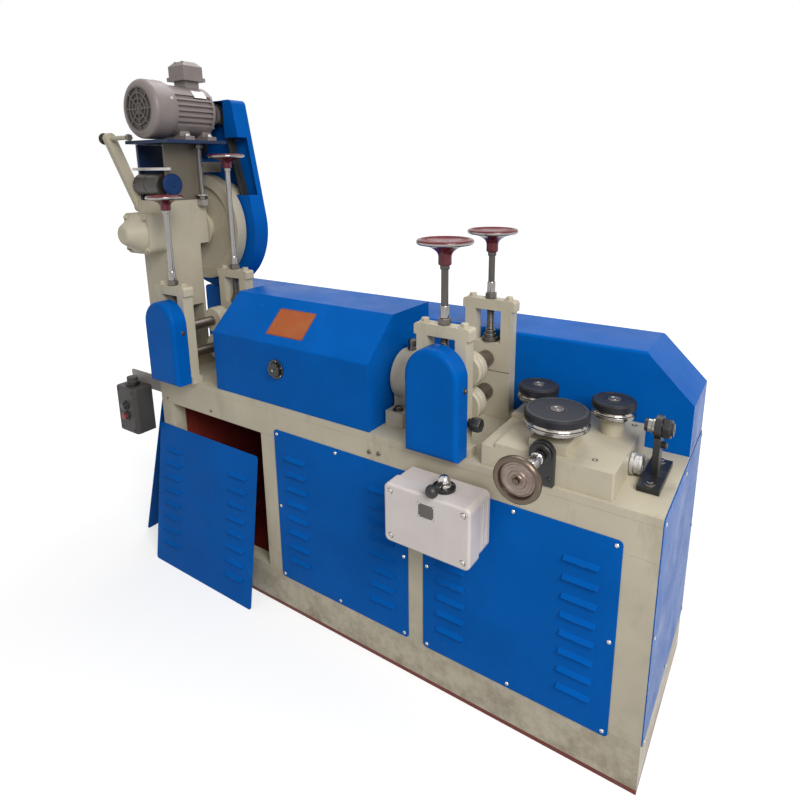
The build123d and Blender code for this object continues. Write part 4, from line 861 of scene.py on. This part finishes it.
for node, carrier, hub_r in (("roller_front", "roller_slide", 0.018),
                             ("roller_rear_left", FIXED, 0.0165), ("roller_rear_right", FIXED, 0.0165)):
    low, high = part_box(node)
    centre = Vector((mid(low.x, high.x), mid(low.y, high.y), high.z))
    radius = (high.x - low.x) / 2
    turned_piece(node + "_hub", hub_metal, centre, Z, [
        (0, 0.0006), (hub_r, 0.0006), (hub_r, 0.0016), (hub_r - 0.0012, 0.0026), (0.012, 0.0026),
        (0.011, 0.0012), (0.007, 0.0012), (0.0064, 0.0022), (0, 0.0022),
    ], 36, carrier)
    rim = bmesh.new()
    turned(rim, centre, Z, ring(radius - 0.012, radius - 0.0045, -SINK, 0.0012), 72, closed=True)
    turned(rim, centre, Z, ring(hub_r + 0.004, hub_r + 0.01, -SINK, 0.0008), 48, closed=True)
    piece(node + "_rim", rim, black, node)
    turned_piece(node + "_flange", spindle, centre, Z, [
        (radius - 0.014, -0.0405), (radius - 0.003, -0.0405), (radius + 0.0012, -0.0385),
        (radius + 0.0018, -0.036), (radius + 0.0012, -0.0335), (radius - 0.003, -0.0318),
        (radius - 0.014, -0.0318),
    ], 72, node, closed=True)

# slide: handwheel, lead screw and bracket

RIM_FRONT = 0.008
BRACKET_SCREW_X = 0.021
BRACKET_SCREW_H = 0.02
wheel_low, wheel_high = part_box("slide_handwheel")
slide_x = mid(wheel_low.x, wheel_high.x)
slide_z = mid(wheel_low.z, wheel_high.z)
hand_y = wheel_low.y + RIM_FRONT
hand_place = Vector((slide_x, hand_y, slide_z))
hand = turned_piece("slide_wheel_rim", warm_chrome, hand_place, -Y, [
    (0, -0.058), (0.0165, -0.058), (0.0178, -0.056), (0.0178, -0.04), (0.016, -0.038),
    (0.016, -0.016), (0.022, -0.012), (0.04, -0.009), (0.044, -0.0085), (0.0462, -0.0095),
    (0.0525, -0.0085), (0.0562, -0.0055), (0.0575, 0.0), (0.0562, 0.0048), (0.053, 0.0076),
    (0.0485, 0.008), (0.0445, 0.006), (0.0425, 0.002), (0.0412, -0.0018), (0, -0.0018),
], 72, "slide_handwheel")
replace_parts(hand, "slide_handwheel")
turned_piece("slide_wheel_face", wheel_metal, hand_place, -Y, [
    (0, -0.0022), (0.0405, -0.0022), (0.0408, -0.0012), (0.037, -0.0008), (0.036, 0.0), (0.03, 0.0),
    (0.029, -0.0008), (0.022, -0.0006), (0.0205, 0.001), (0.014, 0.0022), (0.0125, 0.0042), (0, 0.0042),
], 64, "slide_handwheel")
nose = bmesh.new()
bolt(nose, hand_place + Vector((0, -0.0041, 0)), -Y, 0.0082, washer=1.25)
piece("slide_wheel_bolt", nose, warm_chrome, "slide_handwheel")
lead = bmesh.new()
turned(lead, hand_place, Y, threaded(0.0088, 0.001, 0.05, wheel_high.y - hand_y, 0.004), 20)
turned(lead, hand_place, Y, [
    (0, 0.066), (0.0165, 0.066), (0.0178, 0.068), (0.0178, 0.088), (0.0165, 0.09), (0, 0.09),
], 36)
turned(lead, hand_place, Y, [
    (0, 0.089), (0.014, 0.089), (0.014, 0.112), (0.016, 0.114), (0.016, 0.128), (0.015, 0.13),
    (0.0125, 0.13), (0.0125, 0.1385), (0, 0.1385),
], 32)
piece("slide_lead_screw", lead, chrome, "slide_handwheel")
bracket_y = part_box("slide_bracket")[0].y
bracket = bmesh.new()
turned(bracket, (slide_x, bracket_y, slide_z), -Y, ring(0.0135, 0.0265, -SINK, 0.006, 0.0015), 48,
       closed=True)
for x in (slide_x - BRACKET_SCREW_X, slide_x + BRACKET_SCREW_X):
    screw(bracket, (x, bracket_y, BED_TOP + BRACKET_SCREW_H), -Y, 0.006)
piece("bracket_boss", bracket, black)

# wire guide: bush with foot bolts, its nut, and the loose bush beside the roller block

GUIDE_X = 1.01375
GUIDE_FOOT_IN = 0.02
GUIDE_FOOT_H = 0.014
GUIDE_FACE = 0.008
SPARE_Y = -0.042
SPARE_H = 0.0292
bush = bmesh.new()
turned(bush, (GUIDE_X - 0.0085, WIRE_Y, WIRE_Z), -X, [
    (0.0165, 0), (0.0185, 0), (0.0195, 0.0015), (0.0195, 0.006), (0.0185, 0.0075), (0.0172, 0.008),
    (0.0172, 0.0165), (0.0165, 0.017),
], closed=True)
for y in (guide_low.y + GUIDE_FOOT_IN, guide_high.y - GUIDE_FOOT_IN):
    bolt(bush, (GUIDE_X, y, BED_TOP + GUIDE_FOOT_H), Z, 0.0085)
piece("guide_bush", bush, spindle)
guide_nut = bmesh.new()
turned(guide_nut, (GUIDE_X + GUIDE_FACE, WIRE_Y, WIRE_Z), X, [
    (0.0165, 0.0), (0.024, 0.0), (0.0255, 0.0015), (0.0255, 0.0165), (0.0235, 0.0185), (0.0165, 0.0185),
], 6, closed=True)
turned(guide_nut, (GUIDE_X + GUIDE_FACE, WIRE_Y + 0.004, WIRE_Z - 0.046), X, [
    (0, -SINK), (0.0095, -SINK), (0.0095, 0.01), (0.0075, 0.0125), (0, 0.0125),
], 6)
piece("guide_nut", guide_nut, black)
block_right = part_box("roller_block")[1].x
spare_place = (block_right + 0.0008, SPARE_Y, BED_TOP + SPARE_H)
turned_piece("spare_bush", alloy, spare_place, X, [
    (0.012, 0.0), (0.027, 0.0), (0.0288, 0.002), (0.0288, 0.009), (0.0262, 0.011), (0.0245, 0.012),
    (0.0245, 0.021), (0.0262, 0.0225), (0.0262, 0.0265), (0.024, 0.029), (0.014, 0.029), (0.012, 0.0275),
], 48, closed=True)

# control box: lid screws, a bare plate in its rim, side ribs and the lever's dome

BOX_SCREW_IN = 0.02
LID_STEP = 0.004
PLATE_EDGE = 0.0005
RIM_X = (0.512, 0.5145, 0.5598, 0.5623)
RIM_Z = (0.656, 0.6585, 0.6965, 0.699)
LEVER_BALL_R = 0.0165
LEVER_CIRCLE = 0.0245
case_low, case_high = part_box("control_box")
box_screws = bmesh.new()
for x, z in product((case_low.x + BOX_SCREW_IN, case_high.x - BOX_SCREW_IN),
                    (case_low.z + BOX_SCREW_IN, case_high.z - BOX_SCREW_IN)):
    screw(box_screws, (x, case_low.y + LID_STEP, z), -Y, 0.0066)
piece("box_screws", box_screws, alloy)
plate_out, plate_in = case_low.y - 0.0012, case_low.y + SINK
label = bmesh.new()
block(label, (0.5135, plate_out, 0.6575), (0.5608, plate_in, 0.6975), PLATE_EDGE)
piece("box_plate", label, plate_bare)
label_rim = bmesh.new()
for x0, z0, x1, z1 in ((RIM_X[0], RIM_Z[0], RIM_X[3], RIM_Z[1]), (RIM_X[0], RIM_Z[2], RIM_X[3], RIM_Z[3]),
                       (RIM_X[0], RIM_Z[0], RIM_X[1], RIM_Z[3]), (RIM_X[2], RIM_Z[0], RIM_X[3], RIM_Z[3])):
    block(label_rim, (x0, case_low.y - 0.0016, z0), (x1, plate_in, z1), PLATE_EDGE)
for x, z in product((0.517, 0.5573), (0.661, 0.694)):
    screw(label_rim, (x, plate_out, z), -Y, 0.0018)
piece("box_plate_rim", label_rim, alloy)
ribs = bmesh.new()
for x, out in ((case_high.x - LID_STEP, 1), (case_low.x + LID_STEP, -1)):
    x0, x1 = sorted((x - out * 0.001, x + out * 0.0035))
    for y in (case_high.y - 0.03, case_high.y - 0.052):
        block(ribs, (x0, y - 0.0025, case_low.z + 0.022), (x1, y + 0.0025, case_high.z - 0.022), 0.0012)
piece("box_ribs", ribs, white)
lever_low, lever_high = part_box("control_lever")
lever_x = mid(lever_low.x, lever_high.x)
lever_y = lever_high.y - 0.03
dome_z = lever_low.z + 0.0085
ball = [(dx, 0.0145 + dz) for dx, dz in around(LEVER_BALL_R, range(-30, 90, 12))]
dome = [(0, 0), (0.019, 0), (0.019, 0.003), (0.0168, 0.0045)] + ball + [(0, 0.031)]
turned_piece("lever_dome", chrome, (lever_x, lever_y, dome_z), Z, dome, 40, "control_lever")
lever_screws = bmesh.new()
for dx, dy in around(LEVER_CIRCLE, CORNERS):
    screw(lever_screws, (lever_x + dx, lever_y + dy, dome_z), Z, 0.003)
turned(lever_screws, (lever_x, lever_y - 0.04, lever_low.z + 0.0225), -Y, [
    (0, 0), (0.0075, 0), (0.0085, 0.002), (0.0085, 0.007), (0, 0.007),
], 24)
piece("lever_screws", lever_screws, dark_steel, "control_lever")

# starter box: two buttons in their bezels, a gland nut on top and lid screws

STOP_H, START_H = 0.07, 0.112
STARTER_LID = 0.009
HOOD_H = 0.034
GLAND_BACK = 0.039
LID_SCREW_X, LID_SCREW_Z = 0.02, 0.016
BUTTON = [(0, -0.002), (0.0125, -0.002), (0.0132, 0.001), (0.0132, 0.004), (0.011, 0.0062), (0.006, 0.007),
          (0, 0.0072)]
start_low, start_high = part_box("starter_box")
start_x = mid(start_low.x, start_high.x)
lid_y = start_low.y + STARTER_LID
for name, height, material in (("stop_button", STOP_H, red_plastic),
                               ("start_button", START_H, gloss_black)):
    place = (start_x, start_low.y, start_low.z + height)
    turned_piece(name, material, place, -Y, BUTTON, 32)
bezels = bmesh.new()
for height in (STOP_H, START_H):
    turned(bezels, (start_x, lid_y, start_low.z + height), -Y, ring(0.0146, 0.019, -SINK, 0.005, 0.001), 36,
           closed=True)
turned(bezels, (start_x, start_high.y - GLAND_BACK, start_high.z - HOOD_H), Z, [
    (0.0202, 0), (0.026, 0), (0.027, 0.001), (0.027, 0.011), (0.0255, 0.0125), (0.0202, 0.0125),
], 6, closed=True)
for x, z in product((start_low.x + LID_SCREW_X, start_high.x - LID_SCREW_X),
                    (start_low.z + LID_SCREW_Z, start_high.z - HOOD_H - LID_SCREW_Z)):
    screw(bezels, (x, lid_y, z), -Y, 0.0045)
piece("starter_bezels", bezels, black)

# motor: foot bolts, lid screws, cowl screws, bell bolts, cable gland and a bare plate

FOOT_X, FOOT_H = 0.071, 0.016
LID_X = 0.02
COWL_SCREW_Y = 0.072
BELL_CIRCLE = 0.08
PLATE_STEPS = 8
PLATE_FROM, PLATE_SPAN = 31, 22
body_end = motor_low.y + 0.264
motor_bolts = bmesh.new()
for x, y in product((MOTOR_X - FOOT_X, MOTOR_X + FOOT_X), (body_end - 0.12, body_end - 0.02)):
    bolt(motor_bolts, (x, y, motor_low.z + FOOT_H), Z, 0.0095)
for x, y in product((MOTOR_X - LID_X, MOTOR_X + LID_X), (body_end - 0.078, body_end - 0.024)):
    screw(motor_bolts, (x, y, motor_high.z), Z, 0.0042)
for dx, dz in around(1.0, (20, 90, 160, 270)):
    out = Vector((dx, 0, dz))
    on_cowl = Vector((MOTOR_X, motor_low.y + COWL_SCREW_Y, MOTOR_Z)) + out * (MOTOR_R - 0.0002)
    screw(motor_bolts, on_cowl, out, 0.0055)
for dx, dz in around(BELL_CIRCLE, CORNERS):
    bolt(motor_bolts, (MOTOR_X + dx, body_end + 0.0095, MOTOR_Z + dz), Y, 0.006, washer=0)
piece("motor_bolts", motor_bolts, alloy)
gland_place = (MOTOR_X - 0.045, body_end - 0.051, motor_high.z - 0.034)
turned_piece("motor_gland", black, gland_place, -X, [
    (0, -SINK), (0.015, -SINK), (0.015, 0.006), (0.012, 0.007), (0.012, 0.016), (0.0095, 0.02),
    (0.006, 0.02), (0.006, 0.012), (0, 0.012),
], 6)
badge = bmesh.new()
corners = []
plate_angles = [PLATE_FROM + PLATE_SPAN * i / PLATE_STEPS for i in range(PLATE_STEPS + 1)]
for reach in (0.0921, 0.0932):
    for dx, dz in around(reach, plate_angles):
        for y in (body_end - 0.08, body_end - 0.026):
            corners.append(badge.verts.new((MOTOR_X + dx, y, MOTOR_Z + dz)))
layer = 2 * (PLATE_STEPS + 1)
for a in range(0, 2 * PLATE_STEPS, 2):
    for k in (0, layer):
        badge.faces.new([corners[k + n] for n in (a, a + 1, a + 3, a + 2)])
    for k in (0, 1):
        badge.faces.new([corners[n + k] for n in (a, a + 2, layer + a + 2, layer + a)])
for a in (0, 2 * PLATE_STEPS):
    badge.faces.new([corners[n] for n in (a, a + 1, layer + a + 1, layer + a)])
piece("motor_plate_bare", badge, alloy)

# strut, stud and what hangs between the motor's cheeks

STRUT_END = 0.02
COLUMN_PAD = 0.022
STUD_IN = 0.032
STUD_NUT = 0.0155
DRUM_H = 0.06
strut_low, strut_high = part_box("motor_strut")
head = Vector((strut_low.x, strut_low.y + STRUT_END, strut_high.z - STRUT_END))
tail = Vector((column_low.x - COLUMN_PAD, strut_high.y - STRUT_END, strut_low.z + STRUT_END))
press_nuts = bmesh.new()
bolt(press_nuts, head, -X, 0.015)
bolt(press_nuts, tail, -X, 0.015)
turned(press_nuts, Vector((strut_high.x, head.y, head.z)), X, [
    (0, -0.012), (0.0125, -0.012), (0.0125, 0.001), (0.0105, 0.003), (0, 0.003),
], 6)
stud_low, stud_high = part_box("motor_stud")
stud_x = LEFT + STUD_IN
stud_y = mid(stud_low.y, stud_high.y)
for z in (stud_high.z - 0.016, stud_low.z + 0.0242):
    turned(press_nuts, (stud_x, stud_y, z), Z, [
        (0, 0), (STUD_NUT, 0), (STUD_NUT + 0.0012, 0.0015), (STUD_NUT + 0.0012, 0.0125), (STUD_NUT, 0.014),
        (0, 0.014),
    ], 6)
piece("press_nuts", press_nuts, dark_steel)
stud_washers = bmesh.new()
turned(stud_washers, (stud_x, stud_y, stud_low.z + 0.0385), Z, [
    (0.0085, 0), (0.0255, 0), (0.0262, 0.0008), (0.0262, 0.0042), (0.0255, 0.005), (0.0085, 0.005),
], 36, closed=True)
turned(stud_washers, (stud_x, stud_y, 0), Z,
       threaded(0.0088, 0.001, stud_low.z + 0.044, stud_high.z - 0.016, 0.0035), 18)
piece("stud_washers", stud_washers, chrome)
cheek_low, cheek_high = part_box("motor_cheeks")
drum_z = cheek_low.z + DRUM_H
drum_place = (cheek_low.x + 0.0146, cheek_low.y + 0.002, drum_z)
# a near-black drum fills the shaded hollow between the cheeks; its colour is painted shade
turned_piece("tension_roller", shaded_brown_black, drum_place, X, [
    (0, 0), (0.036, 0), (0.04, 0.004), (0.04, 0.056), (0.0414, 0.058), (0.0414, 0.068), (0.04, 0.07),
    (0.04, 0.142), (0.036, 0.146), (0, 0.146),
], 48)
# the roller's end takes the darkened blue that paints its shade
drum_end = (cheek_high.x - SINK, cheek_low.y + 0.018, drum_z)
turned_piece("tension_roller_end", shaded_blue, drum_end, X, [
    (0, 0), (0.0375, 0), (0.0395, 0.0018), (0.0395, 0.0095), (0.0375, 0.012), (0.026, 0.015),
    (0.024, 0.0145), (0.009, 0.0145), (0.008, 0.019), (0, 0.0195),
], 48)
cross_bar = bmesh.new()
block(cross_bar, (strut_high.x - 0.138, cheek_low.y - 0.01, cheek_low.z + 0.111),
      (cheek_high.x + 0.03, cheek_low.y + 0.001, cheek_low.z + 0.122), 0.0015)
piece("cheek_cross_bar", cross_bar, alloy)

# crank bearing: bolts at the corners of its block

BOSS_BOLT = 0.058
cap_low, cap_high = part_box("press_crank_cap")
crank_x = mid(cap_low.x, cap_high.x)
crank_z = mid(cap_low.z, cap_high.z)
boss_bolts = bmesh.new()
for dx, dz in product((-BOSS_BOLT, BOSS_BOLT), repeat=2):
    bolt(boss_bolts, (crank_x + dx, cap_high.y, crank_z + dz), -Y, 0.0085)
piece("boss_bolts", boss_bolts, cream)

# studio: floor, world and two soft boxes

FLOOR_HALF = 30.0
FLOOR_GREY = (0.5, 0.5, 0.5, 1)
GLOW_NEAR, GLOW_FAR = 1.2, 3.4
GLOW_LOW, GLOW_HIGH = 0.6, 0.9
WORLD_LIGHT, WORLD_SEEN = 0.4, 1.0
WHITE = (1, 1, 1, 1)
floor_mesh = bpy.data.meshes.new("floor")
square = [(x * FLOOR_HALF, y * FLOOR_HALF, 0) for x, y in ((-1, -1), (1, -1), (1, 1), (-1, 1))]
floor_mesh.from_pydata(square, [], [(0, 1, 2, 3)])
floor = bpy.data.objects.new("floor", floor_mesh)
bpy.context.scene.collection.objects.link(floor)
floor_mat, floor_tree, floor_shader = new_material("pale_floor")
floor_reach = add(floor_tree, "VectorMath", {0: object_coords(floor_tree)}, "LENGTH").outputs["Value"]
floor_pale = ramp(floor_tree, floor_reach, GLOW_NEAR, GLOW_FAR, GLOW_LOW, GLOW_HIGH)
feed(floor_tree, floor_shader, {
    "Base Color": FLOOR_GREY, "Roughness": 0.9, "Specular IOR Level": 0.1, "Emission Color": WHITE,
    "Emission Strength": all_of(floor_tree, any_seen(floor_tree), floor_pale),
})
floor_mesh.materials.append(floor_mat)

world = bpy.data.worlds.new("studio")
bpy.context.scene.world = world
world.use_nodes = True
world_tree = world.node_tree
feed(world_tree, world_tree.nodes["Background"], {
    "Color": WHITE,
    "Strength": ramp(world_tree, any_seen(world_tree), 0.0, 1.0, WORLD_LIGHT, WORLD_SEEN),
})


def area_light(name, place, target, width, height, power):
    """A soft box at a place, turned to a target."""
    data = bpy.data.lights.new(name, "AREA")
    data.shape = "RECTANGLE"
    data.size = width
    data.size_y = height
    data.energy = power
    lamp = bpy.data.objects.new(name, data)
    lamp.location = place
    lamp.rotation_euler = (Vector(target) - Vector(place)).to_track_quat("-Z", "Y").to_euler()
    bpy.context.scene.collection.objects.link(lamp)


area_light("key", (3.0, -2.0, 3.3), (0.2, 0, 0.9), width=2.0, height=2.0, power=142)
area_light("top", (-0.6, 1.6, 4.2), (0, 0, 0.8), width=3.0, height=2.0, power=55)

# camera at the photograph's view

AZIMUTH = math.radians(33.7)
ELEVATION = math.radians(13.3)
ROLL = math.radians(-0.55)
LENS = 26.64
SHIFT_X, SHIFT_Y = -0.00625, -0.11625
CAMERA_RIGHT, CAMERA_FRONT, CAMERA_Z = 1.984, 1.27, 1.526
level = math.cos(ELEVATION)
forward = Vector((-math.sin(AZIMUTH) * level, math.cos(AZIMUTH) * level, -math.sin(ELEVATION)))
right = Vector((math.cos(AZIMUTH), math.sin(AZIMUTH), 0))
up = right.cross(forward)
camera_data = bpy.data.cameras.new("camera")
camera_data.lens = LENS
camera_data.shift_x = SHIFT_X
camera_data.shift_y = SHIFT_Y
camera = bpy.data.objects.new("camera", camera_data)
bpy.context.scene.collection.objects.link(camera)
turn = Matrix((
    math.cos(ROLL) * right + math.sin(ROLL) * up,
    math.cos(ROLL) * up - math.sin(ROLL) * right,
    -forward,
)).transposed()
camera_place = Vector((bed_low.x + CAMERA_RIGHT, bed_low.y - CAMERA_FRONT, CAMERA_Z))
camera.matrix_world = Matrix.Translation(camera_place) @ turn.to_4x4()
bpy.context.scene.camera = camera

bpy.context.scene.view_settings.view_transform = "Standard"
